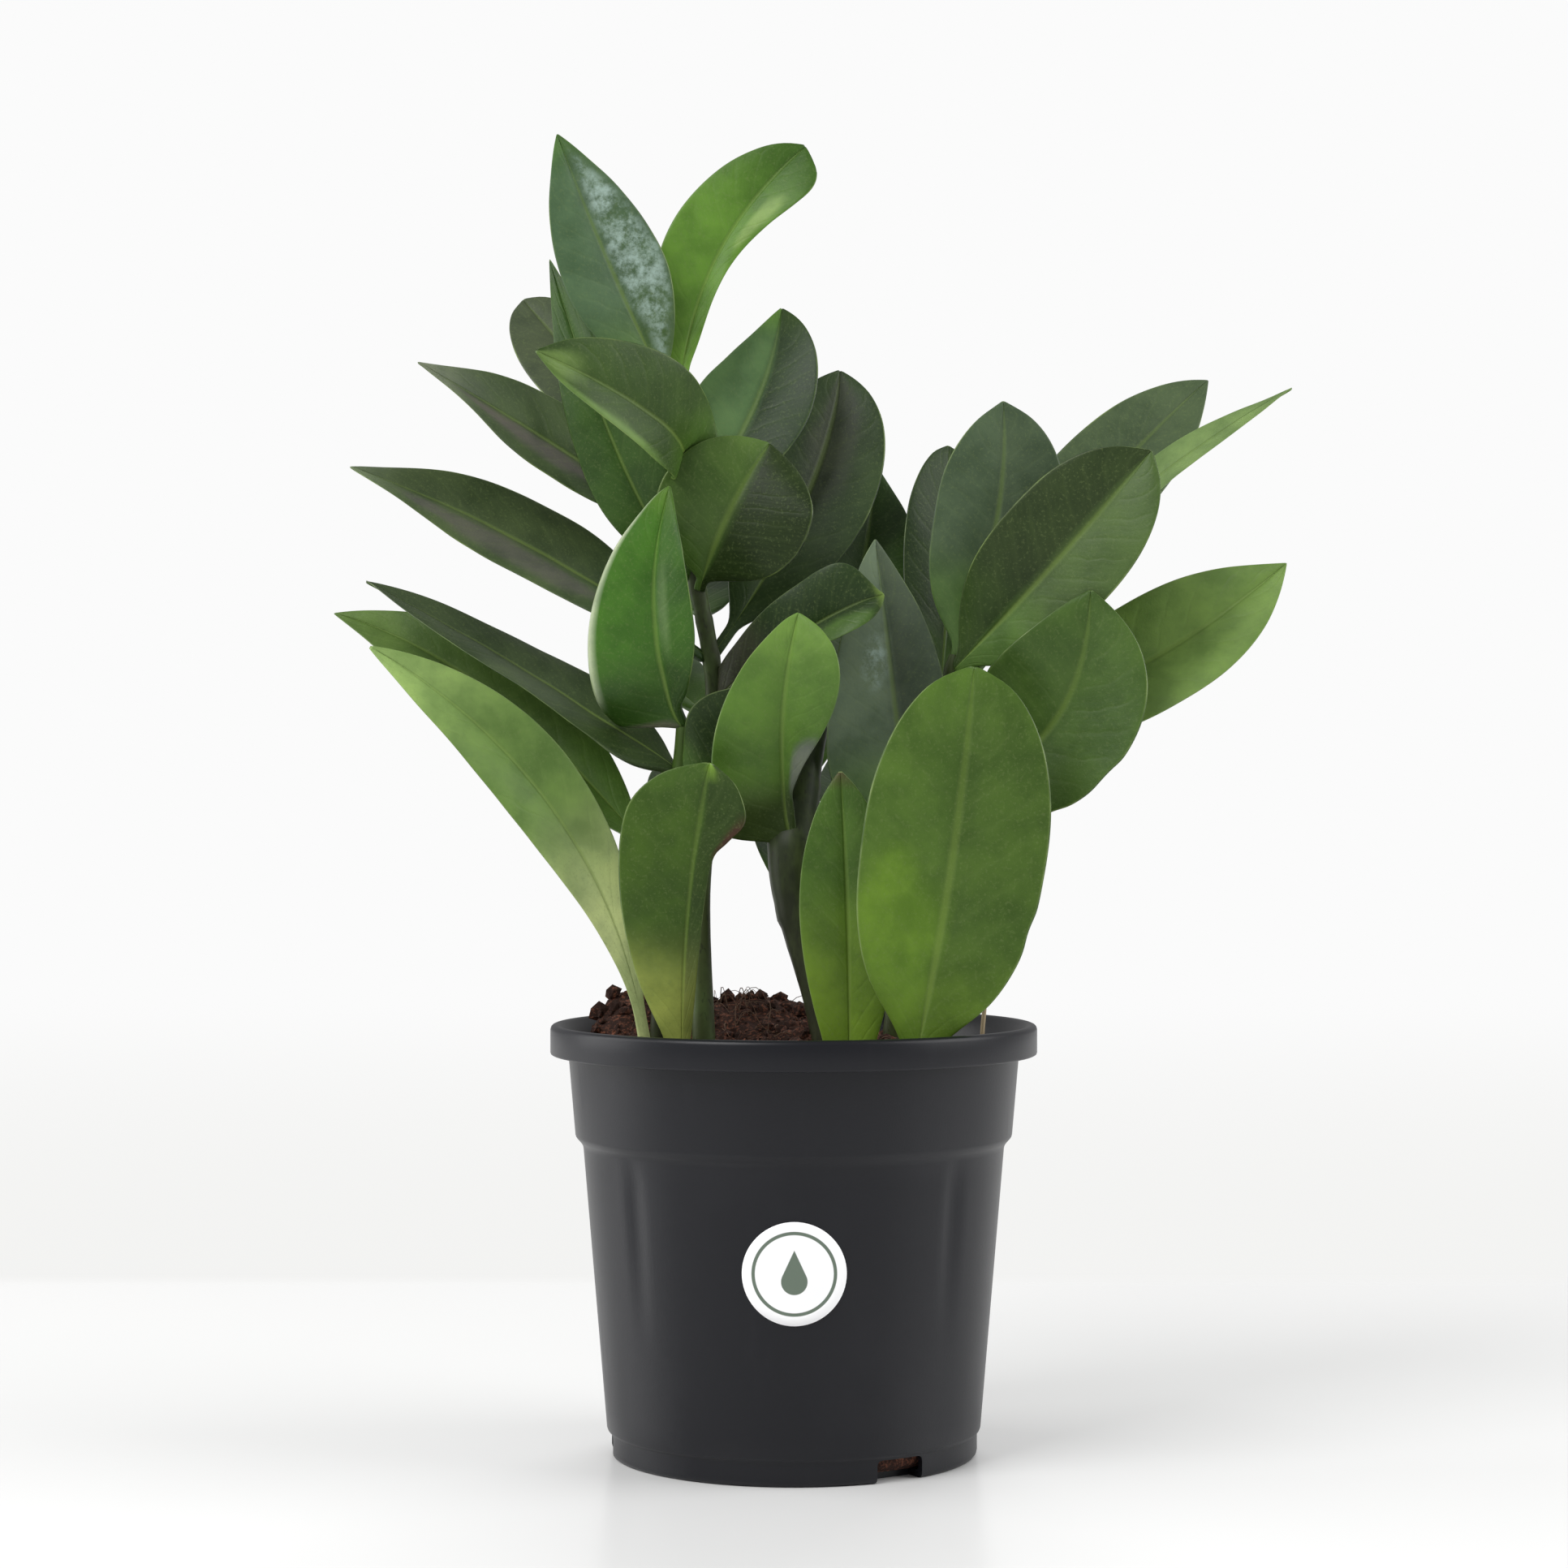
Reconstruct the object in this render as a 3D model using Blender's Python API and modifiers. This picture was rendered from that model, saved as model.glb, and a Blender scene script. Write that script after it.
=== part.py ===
# A ZZ plant in a round nursery pot: pot, soil, label, four upright stems and their leaves.
# Blender units are metres; sizes below are in millimetres and turned to metres by mm().
# +Z is up, the pot stands on Z = 0 and its axis is the Z axis; the label faces -Y.
import math

import bmesh
import bpy
from mathutils import Vector

# Pot
rim_radius = 60.0
rim_height = 105.8
skirt_drop = 7.3
skirt_wall = 1.3
collar_top_radius = 55.5
collar_low_radius = 53.8
collar_drop = 27.5
collar_low_height = rim_height - collar_drop
collar_step = 2.3
wall_top_radius = 51.9
wall_low_radius = 46.0
foot_height = 6.0
foot_step = 0.8
wall = 1.5
floor_thickness = 1.6
pot_steps = 72
flute_depth = 0.75
flute_radius = 8.0
flute_angles = (-132.0, -48.0, 48.0, 132.0)
notch_width = 13.0
notch_height = 5.5
notch_angles = (34.0, 154.0, 274.0)

# Soil and the holes that the stems stand in
soil_gap = 0.4
soil_drop = 5.3
soil_level = rim_height - soil_drop
socket_depth = 14.0
stem_clearance = 0.3

# Label
label_diameter = 24.5
label_drop = 55.0
label_height = rim_height - label_drop
label_thickness = 0.3
label_gap = 0.15

# Leaves
leaf_thickness = 1.2
leaf_clearance = 0.8
stalk_width = 3.0
stalk_inset = 1.5

# The stems' and leaves' heights below are drawn for soil at this height
drawn_soil_level = 100.5
plant_lift = soil_level - drawn_soil_level


def mm(value):
    return value / 1000.0


def clear_scene():
    for obj in list(bpy.data.objects):
        bpy.data.objects.remove(obj, do_unlink=True)


clear_scene()
plant = bpy.data.collections.new("potted_zz_plant")
cutters = bpy.data.collections.new("cutters")
bpy.context.scene.collection.children.link(plant)
bpy.context.scene.collection.children.link(cutters)


def material(name, colour, roughness):
    made = bpy.data.materials.new(name)
    made.use_nodes = True
    shader = made.node_tree.nodes["Principled BSDF"]
    shader.inputs["Base Color"].default_value = (*colour, 1.0)
    shader.inputs["Roughness"].default_value = roughness
    return made


def add_mesh(name, shape, collection, mat=None, smooth=True):
    """Turns a bmesh, in millimetres, into an object."""
    bmesh.ops.scale(shape, vec=(0.001, 0.001, 0.001), verts=shape.verts)
    mesh = bpy.data.meshes.new(name)
    shape.to_mesh(mesh)
    shape.free()
    obj = bpy.data.objects.new(name, mesh)
    collection.objects.link(obj)
    if mat:
        mesh.materials.append(mat)
    for face in mesh.polygons:
        face.use_smooth = smooth
    return obj


def make_cutter(name, shape):
    obj = add_mesh(name, shape, cutters, smooth=False)
    obj.hide_render = True
    obj.display_type = "WIRE"
    return obj


def cut(obj, cutter):
    boolean = obj.modifiers.new("cut_" + cutter.name, "BOOLEAN")
    boolean.operation = "DIFFERENCE"
    boolean.solver = "EXACT"
    boolean.object = cutter


def pot_radius(height):
    """Outside radius of the pot below its rim."""
    if height <= foot_height:
        return wall_low_radius - foot_step
    step_low = collar_low_height - collar_step
    if height <= step_low:
        part = (height - foot_height) / (step_low - foot_height)
        return wall_low_radius + part * (wall_top_radius - wall_low_radius)
    if height <= collar_low_height:
        part = (height - step_low) / collar_step
        return wall_top_radius + part * (collar_low_radius - wall_top_radius)
    skirt_low = rim_height - skirt_drop
    part = (height - collar_low_height) / (skirt_low - collar_low_height)
    return collar_low_radius + part * (collar_top_radius - collar_low_radius)


# Pot: one profile turned round the axis, then fluted and notched
pot_material = material("pot", (0.028, 0.029, 0.031), 0.42)
skirt_low = rim_height - skirt_drop
skirt_inside = rim_radius - skirt_wall
step_low = collar_low_height - collar_step
foot_radius = wall_low_radius - foot_step
pot_profile = [
    (0.0, floor_thickness),
    (foot_radius - wall - 1.0, floor_thickness),
    (foot_radius - wall, floor_thickness + 1.0),
    (foot_radius - wall, foot_height),
    (wall_low_radius - wall, foot_height + 1.2),
    (wall_top_radius - wall, step_low + 0.6),
    (collar_low_radius - wall, collar_low_height + 0.6),
    (collar_top_radius - wall, skirt_low),
    (collar_top_radius - wall + 1.2, skirt_low + 3.2),
    (rim_radius - 3.1, rim_height - 1.1),
    (rim_radius - 2.3, rim_height - 0.2),
    (rim_radius - 1.6, rim_height),
    (rim_radius - 0.7, rim_height - 0.15),
    (rim_radius - 0.15, rim_height - 0.7),
    (rim_radius, rim_height - 1.5),
    (rim_radius, skirt_low + 0.3),
    (rim_radius - 0.3, skirt_low),
    (skirt_inside, skirt_low),
    (skirt_inside, rim_height - 2.8),
    (rim_radius - 2.6, rim_height - 3.0),
    (collar_top_radius + 0.9, skirt_low + 2.6),
    (collar_top_radius, skirt_low - 0.6),
    (collar_low_radius, collar_low_height),
    (wall_top_radius + 0.3, step_low + 0.4),
    (wall_top_radius, step_low - 0.6),
    (wall_low_radius, foot_height + 0.6),
    (foot_radius, foot_height - 0.2),
    (foot_radius, 1.2),
    (foot_radius - 0.4, 0.4),
    (foot_radius - 1.2, 0.0),
    (0.0, 0.0),
]
line = bmesh.new()
corners = [line.verts.new((radius, 0.0, height)) for radius, height in pot_profile]
for start, end in zip(corners, corners[1:]):
    line.edges.new((start, end))
pot = add_mesh("pot", line, plant, pot_material)
turned = pot.modifiers.new("turned", "SCREW")
turned.axis = "Z"
turned.steps = pot_steps
turned.render_steps = pot_steps
turned.use_merge_vertices = True
turned.merge_threshold = 0.00001
turned.use_smooth_shade = True

flute_top = collar_low_height - collar_step - 1.5
flute_low = 0.36 * flute_top
for number, angle in enumerate(flute_angles):
    turn = math.radians(angle)
    # The cutter leans away from the wall going down, so the flute fades out.
    high = Vector((pot_radius(flute_top) + flute_radius - flute_depth, 0.0, flute_top))
    low = Vector((pot_radius(flute_low) + flute_radius + 0.02, 0.0, flute_low))
    middle = (high + low) / 2
    shape = bmesh.new()
    bmesh.ops.create_cone(
        shape,
        cap_ends=True,
        segments=40,
        radius1=flute_radius,
        radius2=flute_radius,
        depth=(high - low).length,
    )
    tilt = (high - low).to_track_quat("Z", "Y").to_matrix().to_4x4()
    bmesh.ops.transform(shape, matrix=tilt, verts=shape.verts)
    bmesh.ops.translate(shape, vec=middle, verts=shape.verts)
    for vert in shape.verts:
        x, y = vert.co.x, vert.co.y
        vert.co.x = x * math.sin(turn) + y * math.cos(turn)
        vert.co.y = -x * math.cos(turn) + y * math.sin(turn)
    cut(pot, make_cutter(f"flute_cutter_{number + 1}", shape))

for number, angle in enumerate(notch_angles):
    turn = math.radians(angle)
    shape = bmesh.new()
    bmesh.ops.create_cube(shape, size=1.0)
    bmesh.ops.scale(shape, vec=(12.0, notch_width, 2 * notch_height), verts=shape.verts)
    bmesh.ops.translate(shape, vec=(foot_radius, 0.0, 0.0), verts=shape.verts)
    for vert in shape.verts:
        x, y = vert.co.x, vert.co.y
        vert.co.x = x * math.sin(turn) + y * math.cos(turn)
        vert.co.y = -x * math.cos(turn) + y * math.sin(turn)
    cut(pot, make_cutter(f"notch_cutter_{number + 1}", shape))


def raised(point):
    """A drawn point, at its height over the real soil."""
    x, y, z = point
    return Vector((x, y, z + plant_lift))


# Stems: a smooth run through a few points, thinner towards the top
def smooth_run(points, pieces=3):
    run = []
    points = [Vector(point) for point in points]
    padded = [2 * points[0] - points[1], *points, 2 * points[-1] - points[-2]]
    for before, start, end, after in zip(padded, padded[1:], padded[2:], padded[3:]):
        for step in range(pieces):
            t = step / pieces
            bend = (end - before) * 0.5 * t
            bend += (2 * before - 5 * start + 4 * end - after) * 0.5 * t**2
            bend += (3 * start - before - 3 * end + after) * 0.5 * t**3
            run.append(start + bend)
    run.append(points[-1])
    return run


class Stem:
    def __init__(self, name, points, low_radius, top_radius):
        self.name = name
        self.run = smooth_run([raised(point) for point in points])
        self.low_radius = low_radius
        self.top_radius = top_radius

    def at(self, height):
        """The stem's centre and radius at a height."""
        bottom, top = self.run[0].z, self.run[-1].z
        for start, end in zip(self.run, self.run[1:]):
            if start.z <= height <= end.z:
                part = (height - start.z) / (end.z - start.z)
                centre = start.lerp(end, part)
                break
        else:
            centre = self.run[-1] if height > top else self.run[0]
        part = min(max((height - bottom) / (top - bottom), 0.0), 1.0)
        return centre, self.low_radius + part * (self.top_radius - self.low_radius)

    def build(self, mat):
        curve = bpy.data.curves.new(self.name, "CURVE")
        curve.dimensions = "3D"
        curve.bevel_depth = mm(1.0)
        curve.bevel_resolution = 2
        curve.use_fill_caps = True
        spline = curve.splines.new("POLY")
        spline.points.add(len(self.run) - 1)
        for point, place in zip(spline.points, self.run):
            point.co = (mm(place.x), mm(place.y), mm(place.z), 1.0)
            point.radius = self.at(place.z)[1]
        spline.use_smooth = True
        obj = bpy.data.objects.new(self.name, curve)
        curve.materials.append(mat)
        plant.objects.link(obj)
        return obj


stem_material = material("stem", (0.10, 0.13, 0.05), 0.5)
socket_floor = drawn_soil_level - socket_depth + 1.0
tall = Stem(
    "stem_tall",
    [
        (-22, -11, socket_floor),
        (-22, -11, 104),
        (-23, -4, 138),
        (-20, 4, 172),
        (-20, 5, 192),
        (-24, 4, 215),
        (-28, 4, 240),
        (-30, 4, 261),
    ],
    2.9,
    1.7,
)
short = Stem(
    "stem_short",
    [(-33, 2, socket_floor), (-33, 2, 106), (-31, -1, 140), (-28, -5, 168), (-27, -7, 180)],
    2.6,
    1.8,
)
centre = Stem(
    "stem_centre",
    [
        (7, -14, socket_floor),
        (7, -14, 104),
        (2, -11, 128),
        (0, -7, 150),
        (6, 2, 178),
        (14, 9, 199),
    ],
    3.2,
    1.8,
)
right = Stem(
    "stem_right",
    [(25, 3, socket_floor), (25, 3, 104), (29, 4, 140), (35, 5, 172), (40, 4, 197)],
    3.0,
    1.8,
)
stems = (tall, short, centre, right)
for stem in stems:
    stem.build(stem_material)

# Leaves: half widths along the blade, from the stalk to the tip
pointed = (
    (0.0, 0.0),
    (0.07, 0.02),
    (0.15, 0.40),
    (0.28, 0.78),
    (0.43, 1.0),
    (0.60, 0.95),
    (0.76, 0.70),
    (0.89, 0.36),
    (0.97, 0.12),
    (1.0, 0.03),
)
rounded = (
    (0.0, 0.0),
    (0.08, 0.06),
    (0.20, 0.52),
    (0.34, 0.86),
    (0.50, 1.0),
    (0.66, 0.97),
    (0.80, 0.80),
    (0.91, 0.50),
    (0.975, 0.20),
    (1.0, 0.05),
)
across = (-1.0, -0.5, 0.0, 0.5, 1.0)
leaf_material = material("leaf", (0.11, 0.25, 0.05), 0.3)


def leaf_shape(foot, tip, width, face, bow, fold, twist, outline, spare=0.0):
    """The middle sheet of a leaf; spare widens it all round, for the hole it stands in."""
    foot = Vector(foot)
    tip = Vector(tip)
    control = (foot + tip) / 2 + 2 * Vector(bow)
    look = Vector(face).normalized()
    half_stalk = stalk_width / 2
    shape = bmesh.new()
    bmesh.ops.create_grid(shape, x_segments=4, y_segments=9, size=1.0)
    rows = sorted(shape.verts, key=lambda vert: (round(vert.co.y, 4), round(vert.co.x, 4)))
    for row, (along, wide) in enumerate(outline):
        place = foot * (1 - along) ** 2 + control * 2 * along * (1 - along) + tip * along**2
        ahead = (control - foot) * (1 - along) + (tip - control) * along
        ahead.normalize()
        if row == 0:
            place = place - ahead * spare
        side = ahead.cross(look).normalized()
        up = side.cross(ahead)
        turn = math.radians(twist) * along
        side, up = (
            side * math.cos(turn) + up * math.sin(turn),
            up * math.cos(turn) - side * math.sin(turn),
        )
        half = wide * width / 2
        if along < 0.2:
            half = max(half, half_stalk)
        half += spare
        lift = math.radians(fold) * min(1.0, along * 5)
        for column, part in enumerate(across):
            offset = side * (part * half * math.cos(lift))
            offset += up * (abs(part) * half * math.sin(lift) * (1.25 - 0.5 * abs(part)))
            rows[row * 5 + column].co = place + offset
    return shape, rows


def thicken(obj, thickness):
    skin = obj.modifiers.new("thickness", "SOLIDIFY")
    skin.thickness = mm(thickness)
    skin.offset = 0.0
    skin.use_even_offset = False


def leaf_from(name, foot, tip, width, face, bow=(0, 0, 0), fold=14, twist=0, outline=pointed):
    """A leaf from its foot to its tip. face is the way its upper side looks, bow is how far
    the middle of its midrib stands off the straight line, fold lifts both halves into a V,
    and twist turns the tip end about the midrib, in degrees."""
    shape, _ = leaf_shape(foot, tip, width, face, bow, fold, twist, outline)
    thicken(add_mesh(name, shape, plant, leaf_material), leaf_thickness)


def leaf_on(name, stem, height, tip, width, face, side=None, **shape):
    """A leaf whose stalk butts a stem, on the side towards its tip or the side given."""
    height += plant_lift
    tip = raised(tip)
    hub, radius = stem.at(height)
    out = Vector(side) if side else tip - hub
    out.z = 0.0
    out.normalize()
    top = stem.run[-1].z
    if height >= top:
        foot = Vector((hub.x, hub.y, top + leaf_clearance + leaf_thickness / 2))
        foot += out * (radius - stalk_width / 2)
    else:
        # The stalk's inner edge may turn in towards the stem by stalk_inset.
        reach = leaf_clearance + leaf_thickness / 2 + stalk_width / 2 - stalk_inset
        foot = hub + out * (radius + reach)
        foot.z = height
    return leaf_from(name, foot, tip, width, face, **shape)


rising = (
    (0.0, 0.10),
    (0.10, 0.10),
    (0.21, 0.20),
    (0.33, 0.52),
    (0.46, 0.86),
    (0.60, 1.0),
    (0.74, 0.95),
    (0.87, 0.66),
    (0.96, 0.26),
    (1.0, 0.05),
)
broad = (
    (0.0, 0.08),
    (0.10, 0.08),
    (0.18, 0.26),
    (0.29, 0.68),
    (0.42, 0.93),
    (0.56, 1.0),
    (0.72, 0.93),
    (0.86, 0.66),
    (0.96, 0.28),
    (1.0, 0.05),
)
blunt = (
    (0.0, 0.10),
    (0.10, 0.10),
    (0.22, 0.20),
    (0.36, 0.42),
    (0.50, 0.72),
    (0.64, 0.95),
    (0.78, 1.0),
    (0.90, 0.76),
    (0.97, 0.38),
    (1.0, 0.08),
)
sockets = []


def leaf_in_soil(name, root, tip, width, face, bow=(0, 0, 0), fold=14, outline=rising):
    """A leaf whose broad stalk stands in the soil, in a hole of its own shape."""
    foot = raised((*root, socket_floor))
    tip = raised(tip)
    leaf_from(name, foot, tip, width, face, bow, fold, 0, outline)
    shape, rows = leaf_shape(foot, tip, width, face, bow, fold, 0, outline, stem_clearance + 0.1)
    bmesh.ops.delete(shape, geom=rows[20:], context="VERTS")
    cutter = make_cutter("socket_cutter_" + name, shape)
    thicken(cutter, leaf_thickness + 2 * (stem_clearance + 0.1))
    sockets.append(cutter)


# Leaves on the tall stem, from the lowest up
leaf_on("leaf_tall_1", tall, 150, (-28, 56, 172), 26, (0.2, -0.6, 0.8), (-0.1, 1, 0))
leaf_on("leaf_tall_2", tall, 180, (-52, 50, 212), 27, (0.4, -0.5, 0.8), (-1, 1, 0))
leaf_on(
    "leaf_tall_3", tall, 186, (22, -14, 211), 20, (-0.3, -0.45, 0.85), (1, -0.8, 0), bow=(0, -5, 7)
)
leaf_on("leaf_tall_4", tall, 196, (-108, -14, 242), 24, (0.2, -0.7, 0.7), bow=(0, 0, 4))
leaf_on("leaf_tall_5", tall, 197, (12, 34, 271), 32, (0, -1, 0.1), (0.5, 1, 0), bow=(7, 2, 3))
leaf_on("leaf_tall_6", tall, 205, (-28, 58, 230), 26, (0.1, -0.6, 0.8), (-0.1, 1, 0))
leaf_on(
    "leaf_tall_7",
    tall,
    213,
    (-6, -2, 249),
    42,
    (0.15, -0.85, 0.4),
    (0.2, -1, 0),
    bow=(-2, -6, -1),
    outline=rounded,
)
leaf_on(
    "leaf_tall_8", tall, 216, (-61, 9, 296), 20, (-0.15, -1, 0), (-1, 0.5, 0), bow=(1, -12, -12)
)
leaf_on(
    "leaf_tall_9", tall, 228, (-91, -18, 267), 24, (0.2, -0.75, 0.65), (-1, -0.5, 0), bow=(0, 9, 1)
)
leaf_on("leaf_tall_10", tall, 233, (-3, 26, 286), 30, (-0.25, -1, 0.1), (0.3, 1, 0), bow=(4, 0, -2))
leaf_on(
    "leaf_tall_11", tall, 240, (-70, 54, 288), 24, (0.2, -1, 0.2), (0, 1, 0), outline=rounded
)
leaf_on("leaf_tall_12", tall, 249, (-61, -40, 267), 27, (0, -0.8, 0.6), bow=(12, -2, -2))
leaf_on(
    "leaf_tall_13",
    tall,
    256,
    (3, 14, 325),
    24,
    (-0.1, -1, 0.25),
    (1, 0.4, 0),
    bow=(-7, 0, 4),
    outline=rounded,
)
leaf_on("leaf_tall_14", tall, 262, (-58, -8, 324), 25, (0.15, -1, 0.15), bow=(-1, 0, 0))

# Leaves on the short stem
leaf_on("leaf_short_1", short, 143, (-116, 18, 208), 26, (0.15, -0.9, 0.4), bow=(1, 3, 10))
leaf_on(
    "leaf_short_2", short, 160, (-4, -13, 189), 18, (0.1, -0.95, 0.2), (1, -0.5, 0), bow=(2, -1, -2)
)
leaf_on(
    "leaf_short_3", short, 168, (-106, 2, 215), 22, (0.35, -0.55, 0.75), (-1, 0.2, 0), bow=(2, 0, 3)
)
leaf_on(
    "leaf_short_4",
    short,
    180,
    (-30, -18, 237),
    29,
    (-0.4, -1, 0.1),
    bow=(-5, -5, -2),
    fold=22,
    outline=broad,
)

# Leaves on the centre stem
leaf_on("leaf_centre_1", centre, 133, (-2, 44, 164), 22, (0.3, -0.4, 0.9), (-0.1, 1, 0))
leaf_on(
    "leaf_centre_2", centre, 150, (1, -26, 206), 26, (-0.15, -1, 0.05), (0, -1, 0), bow=(-3, -3, 1)
)
leaf_on("leaf_centre_3", centre, 163, (-4, 50, 196), 26, (0.1, -0.6, 0.8), (-0.2, 1, 0))
leaf_on("leaf_centre_4", centre, 186, (24, 62, 214), 24, (-0.1, -0.5, 0.8), (0.3, 1, 0))
leaf_on("leaf_centre_5", centre, 199, (22, 44, 247), 26, (0.1, -1, 0.1))

# Leaves on the right stem
leaf_on("leaf_right_1", right, 140, (10, 56, 172), 26, (0.2, -0.5, 0.8), (-0.6, 1, 0))
leaf_on("leaf_right_2", right, 148, (20, -6, 225), 24, (0.1, -1, 0.1), (-0.5, -1, 0))
leaf_on(
    "leaf_right_3", right, 162, (72, -16, 212), 38, (-0.1, -1, 0.4), (1, -0.6, 0), bow=(9, -5, -7)
)
leaf_on("leaf_right_4", right, 170, (78, 52, 204), 26, (-0.2, -0.5, 0.8), (0.8, 1, 0))
leaf_on(
    "leaf_right_5", right, 176, (123, 8, 220), 30, (-0.2, -0.9, 0.45), (1, 0.2, 0), bow=(2, 0, -6)
)
leaf_on("leaf_right_6", right, 180, (40, 36, 252), 24, (0.3, -1, 0.2), (-0.8, 1, 0), bow=(1, 0, 0))
leaf_on(
    "leaf_right_7", right, 184, (125, 12, 264), 14, (-0.55, -0.25, 0.8), (1, 0.1, 0), bow=(-4, 0, 6)
)
leaf_on(
    "leaf_right_8",
    right,
    189,
    (108, 46, 270),
    27,
    (-0.1, -1, 0.3),
    (0.6, 1, 0),
    bow=(-2, 2, 3),
    outline=rounded,
)
leaf_on(
    "leaf_right_9", right, 193, (87, -14, 246), 32, (-0.1, -1, 0.25), (0.6, -1, 0), bow=(2, -3, 1)
)
leaf_on("leaf_right_10", right, 197, (52, 4, 260), 30, (0.1, -1, 0.15), bow=(4, 1, 1))

# Leaves that rise straight from the soil
leaf_in_soil("leaf_soil_left", (-35, -9), (-102, -24, 198), 23, (0.3, -0.9, 0.4), (15, -4, 10))
leaf_in_soil(
    "leaf_soil_front", (-27, -20), (-28, -34, 170), 33, (-0.1, -1, 0.2), (0, -1, 0), outline=blunt
)
leaf_in_soil("leaf_soil_middle", (11, -29), (11, -30, 168), 17, (0, -1, 0.15))
leaf_in_soil(
    "leaf_soil_right", (26, -37), (43, -30, 193), 44, (0.05, -1, 0.2), (2, 0, 0), outline=broad
)


# Soil: fills the pot to its floor, heaped at the back and lower on the right
def soil_height(x, y):
    height = soil_level - 1.5
    height += 13.0 * math.exp(-((x + 40) ** 2 + (y - 22) ** 2) / 260)
    height += 11.0 * math.exp(-((x + 8) ** 2 + (y - 26) ** 2) / 330)
    height += 4.0 * math.exp(-((x - 10) ** 2 + (y + 5) ** 2) / 500)
    height -= 5.0 * math.exp(-((x - 46) ** 2 + (y - 4) ** 2) / 300)
    return height


soil_material = material("soil", (0.05, 0.028, 0.018), 0.95)
soil = bmesh.new()
floor = floor_thickness + soil_gap
soil_profile = [(radius, soil_level) for radius in (0.0, 8.0, 15.0, 22.0, 29.0, 36.0, 43.0, 49.0)]
soil_profile += [
    (collar_top_radius - wall - soil_gap, soil_level - 1.0),
    (collar_low_radius - wall - soil_gap, collar_low_height + 0.9),
    (wall_top_radius - wall - soil_gap, step_low + 0.2),
    (wall_low_radius - wall - soil_gap, foot_height + 1.8),
    (foot_radius - wall - soil_gap - 0.5, foot_height + 0.2),
    (foot_radius - wall - soil_gap - 0.5, floor + 1.6),
    (foot_radius - wall - soil_gap - 2.0, floor),
    (0.0, floor),
]
corners = [soil.verts.new((radius, 0.0, height)) for radius, height in soil_profile]
edges = [soil.edges.new(pair) for pair in zip(corners, corners[1:])]
bmesh.ops.spin(
    soil,
    geom=corners + edges,
    axis=(0, 0, 1),
    cent=(0, 0, 0),
    steps=36,
    angle=math.tau,
    use_merge=True,
)
bmesh.ops.remove_doubles(soil, verts=soil.verts, dist=0.001)
for vert in soil.verts:
    radius = math.hypot(vert.co.x, vert.co.y)
    if vert.co.z > soil_level - 0.5:
        vert.co.z = soil_height(vert.co.x, vert.co.y)
    elif vert.co.z > collar_low_height + 5:
        # The edge of the soil meets the wall at its own height.
        height = min(soil_height(vert.co.x, vert.co.y), skirt_low + 2.0)
        wanted = pot_radius(min(height, skirt_low)) - wall - soil_gap
        vert.co = Vector((vert.co.x * wanted / radius, vert.co.y * wanted / radius, height))
bmesh.ops.recalc_face_normals(soil, faces=soil.faces)
soil_body = add_mesh("soil", soil, plant, soil_material)

for stem in stems:
    shape = bmesh.new()
    bmesh.ops.create_cone(
        shape,
        cap_ends=True,
        segments=20,
        radius1=stem.low_radius + stem_clearance + 0.2,
        radius2=stem.low_radius + stem_clearance + 0.2,
        depth=40.0,
    )
    foot = stem.run[0]
    bmesh.ops.translate(
        shape, vec=(foot.x, foot.y, foot.z + 20.0 - stem_clearance), verts=shape.verts
    )
    cut(soil_body, make_cutter("socket_cutter_" + stem.name, shape))
for cutter in sockets:
    cut(soil_body, cutter)


# Label: a round paper sticker wrapped on the front wall, with a plain ring on it
def on_wall(x, z, out):
    radius = pot_radius(z) + out
    angle = x / radius
    return Vector((radius * math.sin(angle), -radius * math.cos(angle), z))


paper = material("label", (0.86, 0.87, 0.85), 0.55)
sticker = bmesh.new()
label_radius = label_diameter / 2
marks = (0.0, 0.35, 0.7, 1.0)
corners = [sticker.verts.new((mark * label_radius, 0.0, 0.0)) for mark in marks]
edges = [sticker.edges.new(pair) for pair in zip(corners, corners[1:])]
bmesh.ops.spin(
    sticker,
    geom=corners + edges,
    axis=(0, 1, 0),
    cent=(0, 0, 0),
    steps=40,
    angle=math.tau,
    use_merge=True,
)
bmesh.ops.remove_doubles(sticker, verts=sticker.verts, dist=0.001)
for vert in sticker.verts:
    vert.co = on_wall(vert.co.x, label_height + vert.co.z, label_gap + label_thickness / 2)
bmesh.ops.recalc_face_normals(sticker, faces=sticker.faces)
label = add_mesh("label", sticker, plant, paper)
thicken(label, label_thickness)
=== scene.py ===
# A potted ZZ plant: leaves, stems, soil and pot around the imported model.
import math
import random

import bmesh
import bpy
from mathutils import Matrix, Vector, noise


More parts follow.
